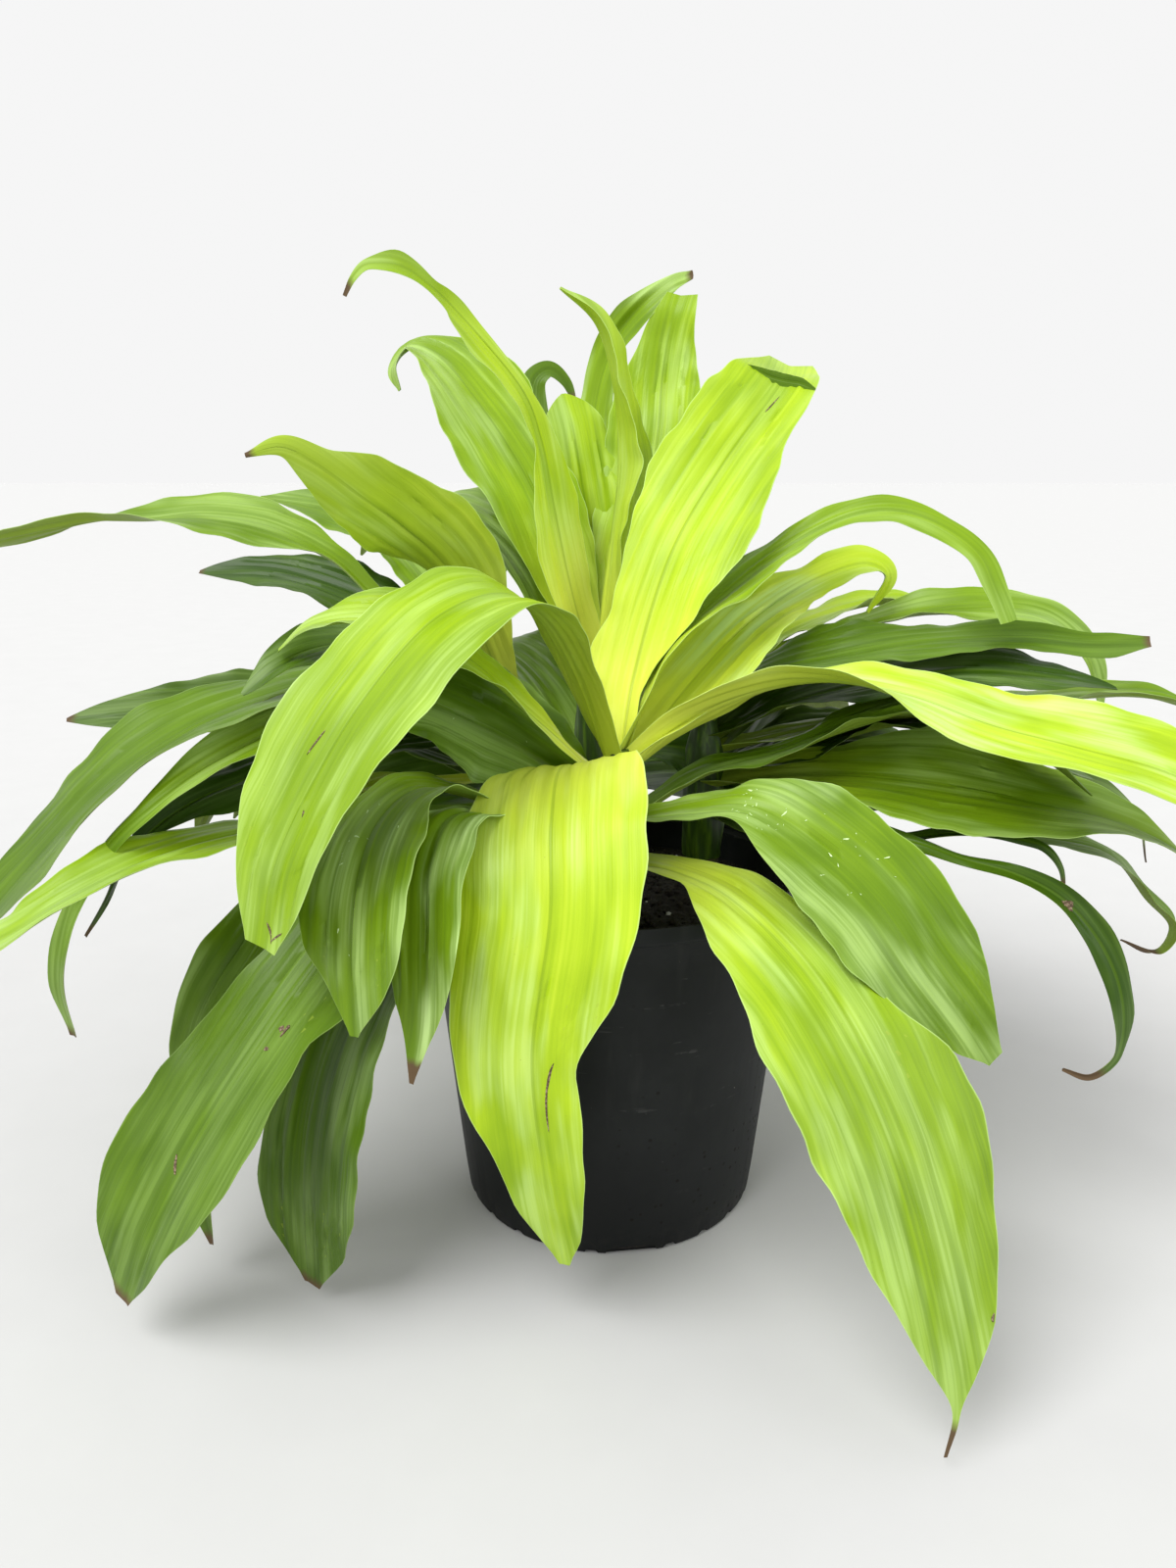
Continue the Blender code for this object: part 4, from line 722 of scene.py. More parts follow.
class Paint:
    """A material and the nodes it is made of"""

    def __init__(self, name):
        self.material = bpy.data.materials.new(name)
        self.material.use_nodes = True
        self.tree = self.material.node_tree
        self.shader = self.tree.nodes["Principled BSDF"]

    def node(self, kind, settings, values, output=0):
        """A new node of the kind, with its settings made first, then its sockets' values or links"""
        made = self.tree.nodes.new(kind)
        for key, value in settings.items():
            if key == "stops":
                self.stops(made.color_ramp, value)
            else:
                setattr(made, key, value)
        for place, value in values.items():
            self.put(made.inputs[place], value)
        return Wire(self, made.outputs[output])

    def stops(self, ramp, stops):
        """The places and colours of a colour ramp"""
        while len(ramp.elements) < len(stops):
            ramp.elements.new(0.5)
        for element, (place, colour) in zip(ramp.elements, stops):
            element.position = place
            element.color = (*colour, 1)

    def put(self, socket, value):
        if isinstance(value, Wire):
            self.tree.links.new(value.socket, socket)
        elif socket.type == "RGBA" and len(value) == 3:
            socket.default_value = (*value, 1)
        else:
            socket.default_value = value

    def measure(self, name):
        """A measure that the mesh carries at its vertices"""
        return self.node("ShaderNodeAttribute", {"attribute_name": name}, {}, "Fac")

    def place(self):
        """The place in the object, in metres"""
        return self.node("ShaderNodeTexCoord", {}, {}, "Object")

    def vector(self, x, y, z):
        return self.node("ShaderNodeCombineXYZ", {}, {0: x, 1: y, 2: z})

    def stretched(self, vector, by):
        return self.node("ShaderNodeVectorMath", {"operation": "MULTIPLY"}, {0: vector, 1: by})

    def noise(self, vector, scale, detail=2.0, rough=0.5):
        values = {"Vector": vector, "Scale": scale, "Detail": detail, "Roughness": rough}
        return self.node("ShaderNodeTexNoise", {}, values)

    def cells(self, vector, scale):
        return self.node("ShaderNodeTexVoronoi", {}, {"Vector": vector, "Scale": scale})

    def mix(self, share, first, second):
        return self.node("ShaderNodeMix", {"data_type": "RGBA"}, {0: share, 6: first, 7: second}, 2)

    def ramp(self, value, stops):
        return self.node("ShaderNodeValToRGB", {"stops": stops}, {0: value})

    def bump(self, height, strength, distance):
        values = {"Height": height, "Strength": strength, "Distance": distance}
        return self.node("ShaderNodeBump", {}, values)

    def finish(self, **values):
        """Sets the shader's sockets and gives back the material"""
        for name, value in values.items():
            self.put(self.shader.inputs[name.replace("_", " ").title().replace("Ior", "IOR")], value)
        return self.material


def leaf_paint(look):
    """Leaf skin: streaks and pleats, painted sheen for reflections, a midrib, pale foot and margins, a
    dried tip
    """
    paint = Paint("leaf skin")
    along, across = paint.measure("along"), paint.measure("across")
    reach, spread = paint.measure("reach"), paint.measure("spread")
    seed, tone = paint.measure("seed"), paint.measure("tone")
    dry, under = paint.measure("dry"), paint.measure("underside")

    def lines(across_by, along_by, detail=2.0, rough=0.5):
        return paint.noise(paint.vector(spread * across_by, reach * along_by, seed), 1.0, detail, rough)

    streaks = lines(1.3, 0.05, 3.0, 0.6)
    fine = lines(3.2, 0.06)
    veins = lines(6, 0.1, rough=0.55)
    clouds = lines(0.35, 0.16)
    # The leaf's tone: partly its own green and partly painted shade on leaves deep in the crown; it darkens
    # towards the tip
    green = tone * (1.09 - along * 0.2) + (streaks - 0.5) * 0.2 + (fine - 0.5) * 0.18
    green = green + (veins - 0.5) * 0.12 + (clouds - 0.5) * (tone * 0.14 + 0.2)
    skin = paint.ramp(green * 0.8, [
        (0.0, DEEPEST_GREEN), (0.24, look.dark), (0.48, look.green),
        (0.68, look.bright), (0.8, look.lime), (0.96, look.pale),
    ])
    # Painted sheen: pale patches in the colour that stand for reflections on the satin leaf
    bloom = paint.noise(paint.vector(spread * 0.6 + 9, reach * 0.12, seed), 1.0).rise(0.42, 0.66)
    bloom = bloom * ((fine * 0.6 + veins * 0.4).rise(0.42, 0.58) * 0.45 + 0.35)
    bloom = bloom * (tone * 0.45 + 0.02) * paint.measure("bloom")
    skin = paint.mix(bloom, skin, look.sheen)
    foot = along.rise(0.42, 0.04) * tone.rise(0.6, 1.0)
    skin = paint.mix(foot * 0.85, skin, look.foot)
    midrib = spread.size().rise(0.13, 0.04) * along.rise(0.98, 0.75)
    skin = paint.mix(midrib * 0.32, skin, look.green)
    # Lower faces go paler: partly their own paler green and partly painted light shining through the leaf
    skin = paint.mix(under * 0.4, skin, look.underside)
    margin = across.size().rise(0.98, 0.994) * tone.rise(0.3, 0.9)
    skin = paint.mix(margin * 0.45, skin, look.sheen)
    specks = paint.cells(paint.vector(spread, reach, seed), 1.6).rise(0.055, 0.02)
    skin = paint.mix(specks * clouds.rise(0.5, 0.62) * 0.6, skin, look.dried)
    ragged = along + (veins - 0.5) * 0.02
    tip = paint.node("ShaderNodeMapRange", {}, {0: ragged, 1: dry - 0.004, 2: dry + 0.012})
    skin = paint.mix(tip, skin, look.dried)
    rough = 0.36 + (streaks - 0.5) * 0.16 + under * 0.12 + tip * 0.3
    height = streaks + fine * 0.5 + veins * 0.15 - midrib * 0.25
    return paint.finish(base_color=skin, roughness=rough, specular_ior_level=look.gloss,
                        normal=paint.bump(height, 0.55, 0.0012))


def scar_paint(look):
    """Dry scar tissue on a leaf: brown with a paler edge"""
    paint = Paint("dry scar")
    spots = paint.noise(paint.place(), 700, 3, 0.6)
    skin = paint.ramp(spots, [(0.35, SCAR_MIDDLE), (0.5, look.dried), (0.68, SCAR_EDGE)])
    return paint.finish(base_color=skin, roughness=0.8, normal=paint.bump(spots, 0.5, 0.0004))


def water_paint(look):
    """The pale film that drops of water leave behind"""
    paint = Paint("dried water")
    film = paint.noise(paint.place(), 900, 3, 0.6)
    skin = paint.mix(film, look.sheen, WATER_FILM)
    return paint.finish(base_color=skin, roughness=0.6, normal=paint.bump(film, 0.3, 0.0003))


def stem_paint(colour):
    """Young bark: pale brown, ringed with the scars of fallen leaves"""
    paint = Paint("ringed bark")
    where = paint.place()
    rings = paint.noise(paint.stretched(where, (40, 40, 420)), 1.0, 3, 0.6)
    patches = paint.noise(where, 90, 3, 0.6)
    skin = paint.ramp(rings, [(0.3, shade(colour, 0.35)), (0.55, colour), (0.75, shade(colour, 1.5))])
    skin = paint.mix(patches.rise(0.5, 0.7) * 0.6, skin, MOSS)
    height = rings + patches * 0.4
    return paint.finish(base_color=skin, roughness=0.75, normal=paint.bump(height, 0.6, 0.001))


def core_paint(look):
    """The sheathing feet of the leaves round a crown's core"""
    paint = Paint("leaf sheaths")
    where = paint.place()
    lines = paint.noise(paint.stretched(where, (260, 260, 14)), 1.0, 3, 0.6)
    skin = paint.ramp(lines, [(0.25, SHEATH_SHADE), (0.5, look.dark), (0.75, look.green)])
    return paint.finish(base_color=skin, roughness=0.45, normal=paint.bump(lines, 0.5, 0.001))


def plastic_paint(colour):
    """Dark nursery plastic, dusty, scuffed and splashed with dried dirt, with painted shade towards its
    foot
    """
    paint = Paint("dusty dark plastic")
    where = paint.place()
    height = paint.node("ShaderNodeSeparateXYZ", {}, {0: where}, "Z")
    dust = paint.noise(where, 9, 5, 0.62)
    fine = paint.noise(where, 160, 4, 0.6)
    runs = paint.noise(paint.stretched(where, (60, 60, 5)), 1.0, 3, 0.6)
    scuffs = paint.noise(paint.stretched(where, (30, 30, 260)), 1.0, 2, 0.5).rise(0.66, 0.74)
    skin = paint.mix(dust.rise(0.35, 0.75), colour, [c * 1.7 + 0.003 for c in colour])
    skin = paint.mix(runs.rise(0.55, 0.8) * 0.25, skin, DUST_RUN)
    skin = paint.mix(scuffs * fine.rise(0.45, 0.6) * 0.25, skin, SCUFF)
    low = height.rise(0.03, 0.0)
    skin = paint.mix(low * fine.rise(0.45, 0.7) * 0.3, skin, FOOT_DUST)
    # Painted shade: the plastic goes darker towards the foot
    skin = paint.mix(height.rise(0.14, 0.02) * 0.7, skin, shade(colour, 0.4))
    dirt = paint.cells(where, 150).rise(0.24, 0.12) * dust.rise(0.52, 0.6)
    skin = paint.mix(dirt * 0.8, skin, SPLASH)
    pale = paint.cells(where, 70).rise(0.05, 0.03) * runs.rise(0.5, 0.6)
    skin = paint.mix(pale * 0.6, skin, PALE_SPECK)
    rough = 0.42 + dust * 0.2 + runs.rise(0.5, 0.75) * 0.12 + dirt * 0.2
    return paint.finish(base_color=skin, roughness=rough, specular_ior_level=0.18,
                        normal=paint.bump(fine * 0.5 + dust * 0.5, 0.25, 0.0006))


def soil_paint(colour, name, light):
    """Dark crumbly potting soil with pale fibres"""
    colour = shade(colour, light)
    paint = Paint(name)
    where = paint.place()
    crumbs = paint.cells(where, 260)
    fine = paint.noise(where, 420, 5, 0.7)
    fibres = paint.noise(paint.stretched(where, (900, 140, 300)), 1.0, 3, 0.6)
    skin = paint.ramp(fine + (crumbs - 0.5) * 0.4, [
        (0.2, shade(colour, 0.25)), (0.5, colour), (0.75, shade(colour, 2.2)),
    ])
    skin = paint.mix(fibres.rise(0.6, 0.72) * 0.35, skin, shade(FIBRE, light))
    return paint.finish(base_color=skin, roughness=0.92, normal=paint.bump(crumbs + fine, 0.9, 0.002))


def perlite_paint():
    """White volcanic grit with grey pores"""
    paint = Paint("perlite grit")
    pores = paint.noise(paint.place(), 900, 3, 0.6)
    skin = paint.ramp(pores, [(0.3, GRIT_PORE), (0.55, GRIT)])
    return paint.finish(base_color=skin, roughness=0.85, normal=paint.bump(pores, 0.8, 0.0006))


def floor_paint(colour):
    """A plain pale studio floor"""
    paint = Paint("pale floor")
    grain = paint.noise(paint.place(), 14, 5, 0.6)
    skin = paint.mix(grain, colour, shade(colour, 0.94))
    return paint.finish(base_color=skin, roughness=0.9, specular_ior_level=0.05)


# What a user would change

class LeafLook(bpy.types.PropertyGroup):
    """Fineness and colours of the leaves"""
    stations: IntProperty(name="Stations", description="Points along a leaf", default=84, min=12, max=120)
    cells: IntProperty(name="Cells", description="Cells across a leaf", default=26, min=4, max=40)
    thickness: FloatProperty(name="Thickness", description="Thickness of a leaf", unit="LENGTH",
                             precision=4, default=0.0008)
    crimp: FloatProperty(name="Crimp", description="Height of the small waves in the margins",
                         unit="LENGTH", precision=4, default=0.0009)
    pleat: FloatProperty(name="Pleat", description="Height of the lengthwise pleats", unit="LENGTH",
                         precision=5, default=0.00085)
    gloss: FloatProperty(name="Gloss", description="Strength of the reflections", subtype="FACTOR",
                         default=0.2, min=0, max=1)
    # Lime to dark green, by the leaves' age and, for the darker ones, also painted shade on leaves deep in
    # the crown
    lime: FloatVectorProperty(name="Lime", description="Youngest leaves", subtype="COLOR",
                              default=(0.38, 0.55, 0.014))
    pale: FloatVectorProperty(name="Pale lime", description="Palest streaks", subtype="COLOR",
                              default=(0.6, 0.74, 0.045))
    bright: FloatVectorProperty(name="Bright green", description="Half grown leaves", subtype="COLOR",
                                default=(0.24, 0.39, 0.008))
    green: FloatVectorProperty(name="Green", description="Grown leaves", subtype="COLOR",
                               default=(0.115, 0.215, 0.006))
    dark: FloatVectorProperty(name="Dark green", description="Oldest leaves", subtype="COLOR",
                              default=(0.03, 0.075, 0.003))
    # Lower faces: partly their own paler green and partly painted light shining through the leaf
    underside: FloatVectorProperty(name="Underside", description="Tint of the lower faces", subtype="COLOR",
                                   default=(0.34, 0.44, 0.05))
    foot: FloatVectorProperty(name="Foot", description="Feet of the youngest leaves", subtype="COLOR",
                              default=(0.82, 0.86, 0.1))
    # One colour for the painted sheen, which stands for reflections, and for the real pale margins and
    # dried water
    sheen: FloatVectorProperty(name="Sheen", description="Pale bloom and margins", subtype="COLOR",
                               default=(0.58, 0.8, 0.3))
    dried: FloatVectorProperty(name="Dried", description="Dried tips and scars", subtype="COLOR",
                               default=(0.11, 0.07, 0.035))


class PotLook(bpy.types.PropertyGroup):
    """Fineness and colour of the pot"""
    sides: IntProperty(name="Sides", description="Sides round the pot", default=192, min=48, max=384)
    plastic: FloatVectorProperty(name="Plastic", description="Colour of the clean plastic", subtype="COLOR",
                                 default=(0.011, 0.0125, 0.0125))


class SoilLook(bpy.types.PropertyGroup):
    """What lies on the soil, and its colour"""
    crumbs: IntProperty(name="Crumbs", description="Crumbs of soil", default=1500, min=0, max=4000)
    perlite: IntProperty(name="Perlite", description="White specks of grit", default=46, min=0, max=400)
    earth: FloatVectorProperty(name="Earth", description="Colour of the soil", subtype="COLOR",
                               default=(0.013, 0.01, 0.007))
    bark: FloatVectorProperty(name="Bark", description="Colour of the stems", subtype="COLOR",
                              default=(0.14, 0.11, 0.055))


class StageLook(bpy.types.PropertyGroup):
    """Studio floor, light and camera"""
    floor: FloatVectorProperty(name="Floor", description="Colour of the floor", subtype="COLOR",
                               default=(0.56, 0.56, 0.555))
    sky: FloatProperty(name="Sky", description="Strength of the even light", default=0.92)
    key: FloatProperty(name="Key light", description="Strength of the soft light overhead", default=2.8)
    side: FloatProperty(name="Side light", description="Strength of the light at the side", default=0.75)
    softness: FloatProperty(name="Softness", description="How broad the two lights look", subtype="ANGLE",
                            default=math.radians(42))
    lens: FloatProperty(name="Lens", description="Focal length of the camera", subtype="DISTANCE_CAMERA",
                        default=26.55)
    tilt: FloatProperty(name="Tilt", description="How far the camera looks down", subtype="ANGLE",
                        default=math.radians(15.5))


class PlantLook(bpy.types.PropertyGroup):
    """All that a user would change on the plant"""
    leaves: PointerProperty(type=LeafLook, name="Leaves", description="The leaves")
    pot: PointerProperty(type=PotLook, name="Pot", description="The pot")
    soil: PointerProperty(type=SoilLook, name="Soil", description="The soil")
    stage: PointerProperty(type=StageLook, name="Stage", description="The studio")


# Pieces

class DRACAENA_OT_leaves(bpy.types.Operator):
    """Grow all the leaves of one crown"""
    bl_idname = "dracaena.leaves"
    bl_label = "Leaves"
    crown: EnumProperty(name="Crown", description="The crown whose leaves are grown",
                        items=[(which, which.title(), "The %s crown" % which) for which in LEAVES])

    def execute(self, context):
        look = context.scene.dracaena.leaves
        skin = bpy.data.materials.get("leaf skin") or leaf_paint(look)
        if not LEAVES[self.crown]:
            raise RuntimeError("the %s crown has no leaves" % self.crown)
        for number, one in enumerate(LEAVES[self.crown]):
            name = "leaf_%s_%02d" % (self.crown, number + 1)
            slot = "leaf_lime" if self.crown == "front" else "leaf_green"
            placed(name, blade_mesh(name, one, number, look), skin, slot, "leaves_" + self.crown)
        return {"FINISHED"}


class DRACAENA_OT_lip(bpy.types.Operator):
    """Fold up the lip across the blunt end of the tallest front leaf, its darker green painted shade"""
    bl_idname = "dracaena.lip"
    bl_label = "Folded lip"

    def execute(self, context):
        look = context.scene.dracaena.leaves
        skin = bpy.data.materials.get("leaf skin") or leaf_paint(look)
        # The lip's darker tone is painted shade inside the curled end
        mesh = blade_mesh("leaf_front_lip", SHADED_LIP, TALLEST, look)
        placed("leaf_front_lip", mesh, skin, "leaf_lime", "leaves_front")
        return {"FINISHED"}


def stand_on_stem(name, which, profile, paint, slot, node, ripple=None):
    """Places a turned piece round the axis of one stem"""
    mesh = smoothed(turned_mesh(name + which, profile, STEM_SIDES, ripple), 50)
    made = placed(name + which, mesh, paint, slot, node + which)
    made.location = (STEMS[which].x, STEMS[which].y, 0)


class DRACAENA_OT_cores(bpy.types.Operator):
    """Build the core of each crown, wrapped in the feet of its leaves"""
    bl_idname = "dracaena.cores"
    bl_label = "Crown cores"

    def execute(self, context):
        paint = core_paint(context.scene.dracaena.leaves)
        for which, stem in STEMS.items():
            rise = stem.crown_top - CROWN_FOOT
            heights = [CROWN_FOOT + rise * high for _, high in CROWN_RINGS]
            radii = [stem.radius * wide for wide, _ in CROWN_RINGS]
            steps = np.linspace(CROWN_FOOT, stem.crown_top, CORE_RINGS)
            profile = [(0, CROWN_FOOT), *zip(np.interp(steps, heights, radii), steps), (0, stem.crown_top)]
            stand_on_stem("core_", which, profile, paint, "leaf_green", "leaves_",
                          lambda angle, h: CORE_RIPPLE * math.sin(5 * angle + 160 * h))
        return {"FINISHED"}


class DRACAENA_OT_stems(bpy.types.Operator):
    """Build the bare feet of the stems, ringed with leaf scars"""
    bl_idname = "dracaena.stems"
    bl_label = "Stems"

    def execute(self, context):
        paint = stem_paint(context.scene.dracaena.soil.bark)
        for which, stem in STEMS.items():
            profile = [(0, STEM_FOOT)]
            for h in np.linspace(STEM_FOOT, STEM_TOP, STEM_RINGS):
                ring = SCAR_HEIGHT * abs(math.sin(h / SCAR_PITCH * math.pi)) ** 0.4
                narrowing = 1 - STEM_TAPER * (h - STEM_FOOT) / (STEM_TOP - STEM_FOOT)
                profile.append(((stem.radius - STEM_INSET) * narrowing + ring, h))
            profile.append((0, STEM_TOP))
            stand_on_stem("ringed_stem_", which, profile, paint, "stem", "stem_")
        return {"FINISHED"}


def lay_patch(bm, scar, look, rise):
    """Adds one thin ragged patch to the mesh, laid on its leaf's upper face"""
    one = LEAVES[scar.crown][scar.number]
    half = blade_reach(one, scar.number, np.array(scar.along), np.array(scar.across)) / CM
    ragged = min(1, 4 * scar.width / scar.length)
    edge = []
    for k in range(PATCH_SIDES):
        angle = 2 * math.pi * k / PATCH_SIDES
        grown = 1 + ragged * (0.22 * math.sin(3 * angle + scar.number) + 0.12 * math.sin(7 * angle))
        a = scar.length / 2 * math.cos(angle) * grown
        b = scar.width / 2 * math.sin(angle) * grown + scar.bow * a * a
        edge.append(turned(a, b, math.radians(scar.lean)))
    points = np.array([(0, 0), *edge])
    t = scar.along + points[:, 0] / route_length(one)
    u = scar.across + points[:, 1] / half
    top, face = blade_points(one, scar.number, t, u, look)
    layers = [[bm.verts.new(co) for co in top + face * lift] for lift in (rise, -PATCH_ROOT)]
    for k in range(1, PATCH_SIDES + 1):
        n = k % PATCH_SIDES + 1
        bm.faces.new((layers[0][0], layers[0][k], layers[0][n]))
        bm.faces.new((layers[1][0], layers[1][n], layers[1][k]))
        bm.faces.new((layers[0][k], layers[1][k], layers[1][n], layers[0][n]))


def patches(name, scars, look, rise, material):
    """One piece made of thin patches on the leaves"""
    bm = bmesh.new()
    for scar in scars:
        lay_patch(bm, scar, look, rise)
    return placed(name, built_mesh(name, bm), material, "leaf_green")


class DRACAENA_OT_scars(bpy.types.Operator):
    """Lay the brown scars and the dried flecks of water on the leaves that have them"""
    bl_idname = "dracaena.scars"
    bl_label = "Leaf scars"

    def execute(self, context):
        look = context.scene.dracaena.leaves
        patches("leaf_scars", SCARS, look, SCAR_RISE, scar_paint(look))
        draw = np.random.default_rng(11)
        flecks = []
        for crown, number, count, first, last in FLECKS:
            for _ in range(count):
                along, across = draw.uniform(first, last), draw.uniform(-0.6, 0.6)
                size = 0.09 + 0.32 * draw.uniform() ** 2.5
                lean = draw.uniform(-90, 90)
                flecks.append(Scar(crown, number, along, across, size, size * 0.25, lean, 0.4))
        patches("dried_water", flecks, look, FLECK_RISE, water_paint(look))
        return {"FINISHED"}


def pot_profile():
    """Half the pot's section: its foot, wall, stepped rim and inside, down to its floor"""
    wall_top = POT_HEIGHT - RIM_HEIGHT
    inner = RIM_RADIUS - POT_WALL
    slope = (POT_TOP_RADIUS - POT_BASE_RADIUS) / wall_top
    heights = np.linspace(0, wall_top, POT_RINGS + 1)[1:]
    heights[-1] -= 0.8 * MM
    profile = [(0, 0)]
    profile += [(POT_BASE_RADIUS - inward * MM, up * MM) for inward, up in FOOT_ROUND]
    profile += [(POT_BASE_RADIUS + slope * h, h) for h in heights]
    profile += [(POT_TOP_RADIUS + 0.6 * MM, wall_top)]
    profile += [(RIM_RADIUS - inward * MM, wall_top + up * MM) for inward, up in STEP_ROUND]
    profile += [(RIM_RADIUS - inward * MM, POT_HEIGHT - down * MM) for inward, down in TOP_ROUND]
    profile += [(inner + 0.4 * MM, POT_HEIGHT - 0.4 * MM), (inner, POT_HEIGHT - 1.2 * MM),
                (inner, wall_top + RIM_STEP + POT_WALL), (POT_TOP_RADIUS - POT_WALL, wall_top + POT_WALL),
                (POT_BASE_RADIUS - POT_WALL + slope * POT_FLOOR, POT_FLOOR), (0, POT_FLOOR)]
    return profile


def notch_plugs():
    """A plug for each drainage notch: low arches all round, and a broad one in front"""
    bm = bmesh.new()
    for k in range(NOTCHES):
        angle = 2 * math.pi * (k + 0.5) / NOTCHES
        broad = abs(math.remainder(angle - ARCH_ANGLE, 2 * math.pi)) < math.pi / NOTCHES
        width, height = (ARCH_WIDTH, ARCH_HEIGHT) if broad else (NOTCH_WIDTH, NOTCH_HEIGHT)
        outline = [(-width / 2, -NOTCH_DROP), (width / 2, -NOTCH_DROP)]
        for bend in np.linspace(0, math.pi, NOTCH_STEPS):
            outline.append((width / 2 * math.cos(bend), height * (0.35 + 0.65 * math.sin(bend))))
        rings = []
        for reach in (POT_BASE_RADIUS - NOTCH_DEPTH, POT_BASE_RADIUS + NOTCH_DEPTH):
            rings.append([bm.verts.new((*turned(reach, w, angle), h)) for w, h in outline])
        for a in range(len(outline)):
            b = (a + 1) % len(outline)
            bm.faces.new((rings[0][a], rings[0][b], rings[1][b], rings[1][a]))
        bm.faces.new(rings[0][::-1])
        bm.faces.new(rings[1])
    return built_mesh("notches", bm)


class DRACAENA_OT_pot(bpy.types.Operator):
    """Turn the nursery pot with its stepped rim and cut the drainage notches round its foot"""
    bl_idname = "dracaena.pot"
    bl_label = "Pot"

    def execute(self, context):
        look = context.scene.dracaena.pot
        mesh = turned_mesh("nursery_pot", pot_profile(), look.sides)
        made = placed("nursery_pot", mesh, plastic_paint(look.plastic), "pot_plastic", "pot")
        cut = made.modifiers.new("notches", "BOOLEAN")
        cut.operation = "DIFFERENCE"
        cut.object = in_scene("notches", notch_plugs())
        graph = context.evaluated_depsgraph_get()
        carved = bpy.data.meshes.new_from_object(made.evaluated_get(graph))
        if not carved.polygons:
            raise RuntimeError("the notches couldn't be cut")
        bpy.data.objects.remove(cut.object)
        made.modifiers.clear()
        made.data = smoothed(carved, 40)
        return {"FINISHED"}


class DRACAENA_OT_soil(bpy.types.Operator):
    """Fill the pot with soil and strew crumbs and white grit on it"""
    bl_idname = "dracaena.soil"
    bl_label = "Soil"

    def execute(self, context):
        look = context.scene.dracaena.soil
        draw = np.random.default_rng(7)
        slope = (POT_TOP_RADIUS - POT_BASE_RADIUS) / (POT_HEIGHT - RIM_HEIGHT)
        foot = POT_BASE_RADIUS - POT_WALL - SOIL_GAP
        radius = foot + slope * SOIL_TOP
        heights = [SOIL_FOOT, *np.linspace(0, SOIL_TOP, 7)[1:-1]]
        profile = [(0, SOIL_FOOT), *((foot + slope * h, h) for h in heights)]
        profile += [(radius * (1 - k / SOIL_RINGS), SOIL_TOP) for k in range(SOIL_RINGS)] + [(0, SOIL_TOP)]
        mesh = turned_mesh("potting_soil", profile, SOIL_SIDES)
        slant, cross, along = LUMP_WAVES
        for v in mesh.vertices:
            x, y, z = v.co
            if z > SOIL_TOP - 0.0001 and math.hypot(x, y) < radius - SOIL_GAP:
                lump = LUMP_RELIEF * math.sin(slant * x + cross * y) * math.sin(along * y)
                v.co.z = soil_height(x, y) + lump
                if in_stem(x, y, 0.0005):
                    v.co.z -= STEM_DIP
        mesh.shade_smooth()
        earth = soil_paint(look.earth, "potting soil", 1.0)
        placed("potting_soil", mesh, earth, "soil", "soil")
        crumbs = grains("soil_crumbs", draw, look.crumbs, CRUMB_SIZES, 0.5, radius - STREWN_INSET)
        placed("soil_crumbs", crumbs, soil_paint(look.earth, "soil crumbs", 1.5), "soil", "soil")
        grit = grains("perlite_grit", draw, look.perlite, GRIT_SIZES, 0.7, radius - STREWN_INSET)
        placed("perlite_grit", grit, perlite_paint(), "soil", "soil")
        return {"FINISHED"}


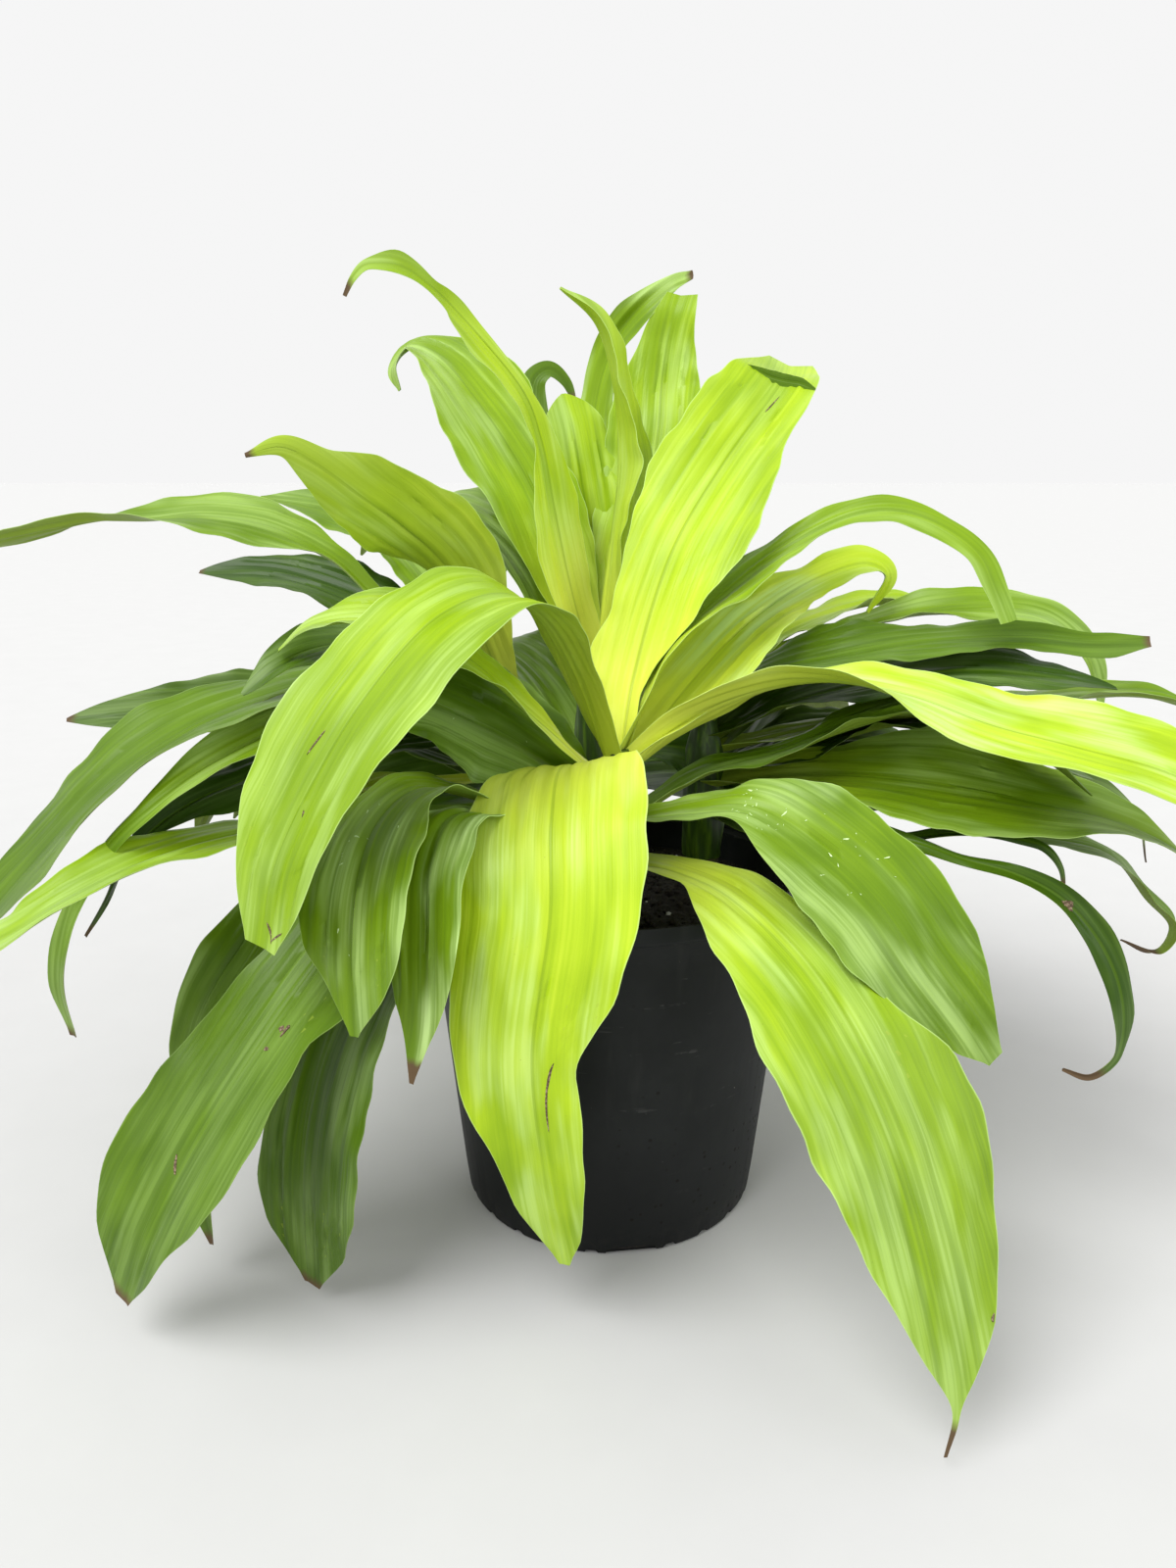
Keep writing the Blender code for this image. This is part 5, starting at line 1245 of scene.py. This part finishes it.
class DRACAENA_OT_stage(bpy.types.Operator):
    """Set the floor, the soft light and the camera"""
    bl_idname = "dracaena.stage"
    bl_label = "Stage"

    def execute(self, context):
        look = context.scene.dracaena.stage
        corners = [(FLOOR_HALF * x, FLOOR_HALF * y, 0) for x, y in ((-1, -1), (1, -1), (1, 1), (-1, 1))]
        mesh = bpy.data.meshes.new("studio_floor")
        mesh.from_pydata(corners, [], [(0, 1, 2, 3)])
        mesh.materials.append(floor_paint(look.floor))
        in_scene("studio_floor", mesh)
        world = bpy.data.worlds.new("soft sky")
        world.use_nodes = True
        background = world.node_tree.nodes["Background"].inputs
        background["Color"].default_value = (1, 1, 1, 1)
        background["Strength"].default_value = look.sky
        context.scene.world = world
        lamps = (("key_lamp", look.key, KEY_PLACE), ("side_lamp", look.side, SIDE_PLACE))
        for name, strength, place in lamps:
            lamp = bpy.data.lights.new(name, "SUN")
            lamp.energy = strength
            lamp.angle = look.softness
            made = in_scene(name, lamp)
            made.location = place
            aim = np.array(LIGHT_AIM) - np.array(place)
            tip = math.atan2(math.hypot(aim[0], aim[1]), -aim[2])
            made.rotation_euler = (tip, 0, math.atan2(aim[1], aim[0]) - math.pi / 2)
        view = bpy.data.cameras.new("photo_view")
        view.lens = look.lens
        view.sensor_width = 36
        made = in_scene("photo_view", view)
        made.location = CAMERA_PLACE
        made.rotation_euler = (math.pi / 2 - look.tilt, 0, 0)
        context.scene.camera = made
        context.scene.view_settings.view_transform = "Standard"
        return {"FINISHED"}


PIECES = (DRACAENA_OT_leaves, DRACAENA_OT_lip, DRACAENA_OT_cores, DRACAENA_OT_stems, DRACAENA_OT_scars,
          DRACAENA_OT_pot, DRACAENA_OT_soil, DRACAENA_OT_stage)


class DRACAENA_PT_pieces(bpy.types.Panel):
    """Lists the pieces of the plant and what can be changed on them"""
    bl_idname = "DRACAENA_PT_pieces"
    bl_label = "Potted dracaena"
    bl_space_type = "VIEW_3D"
    bl_region_type = "UI"
    bl_category = "Dracaena"

    def draw(self, context):
        for piece in PIECES:
            self.layout.operator(piece.bl_idname)
        for name in ("leaves", "pot", "soil", "stage"):
            box = self.layout.box()
            group = getattr(context.scene.dracaena, name)
            for key in group.__annotations__:
                box.prop(group, key)


CLASSES = (LeafLook, PotLook, SoilLook, StageLook, PlantLook, *PIECES, DRACAENA_PT_pieces)


def register():
    for kind in CLASSES:
        bpy.utils.register_class(kind)
    bpy.types.Scene.dracaena = PointerProperty(type=PlantLook)


def unregister():
    del bpy.types.Scene.dracaena
    for kind in reversed(CLASSES):
        bpy.utils.unregister_class(kind)


def main():
    register()
    for which in LEAVES:
        bpy.ops.dracaena.leaves(crown=which)
    bpy.ops.dracaena.lip()
    bpy.ops.dracaena.cores()
    bpy.ops.dracaena.stems()
    bpy.ops.dracaena.scars()
    bpy.ops.dracaena.pot()
    bpy.ops.dracaena.soil()
    bpy.ops.dracaena.stage()


if __name__ == "__main__":
    main()
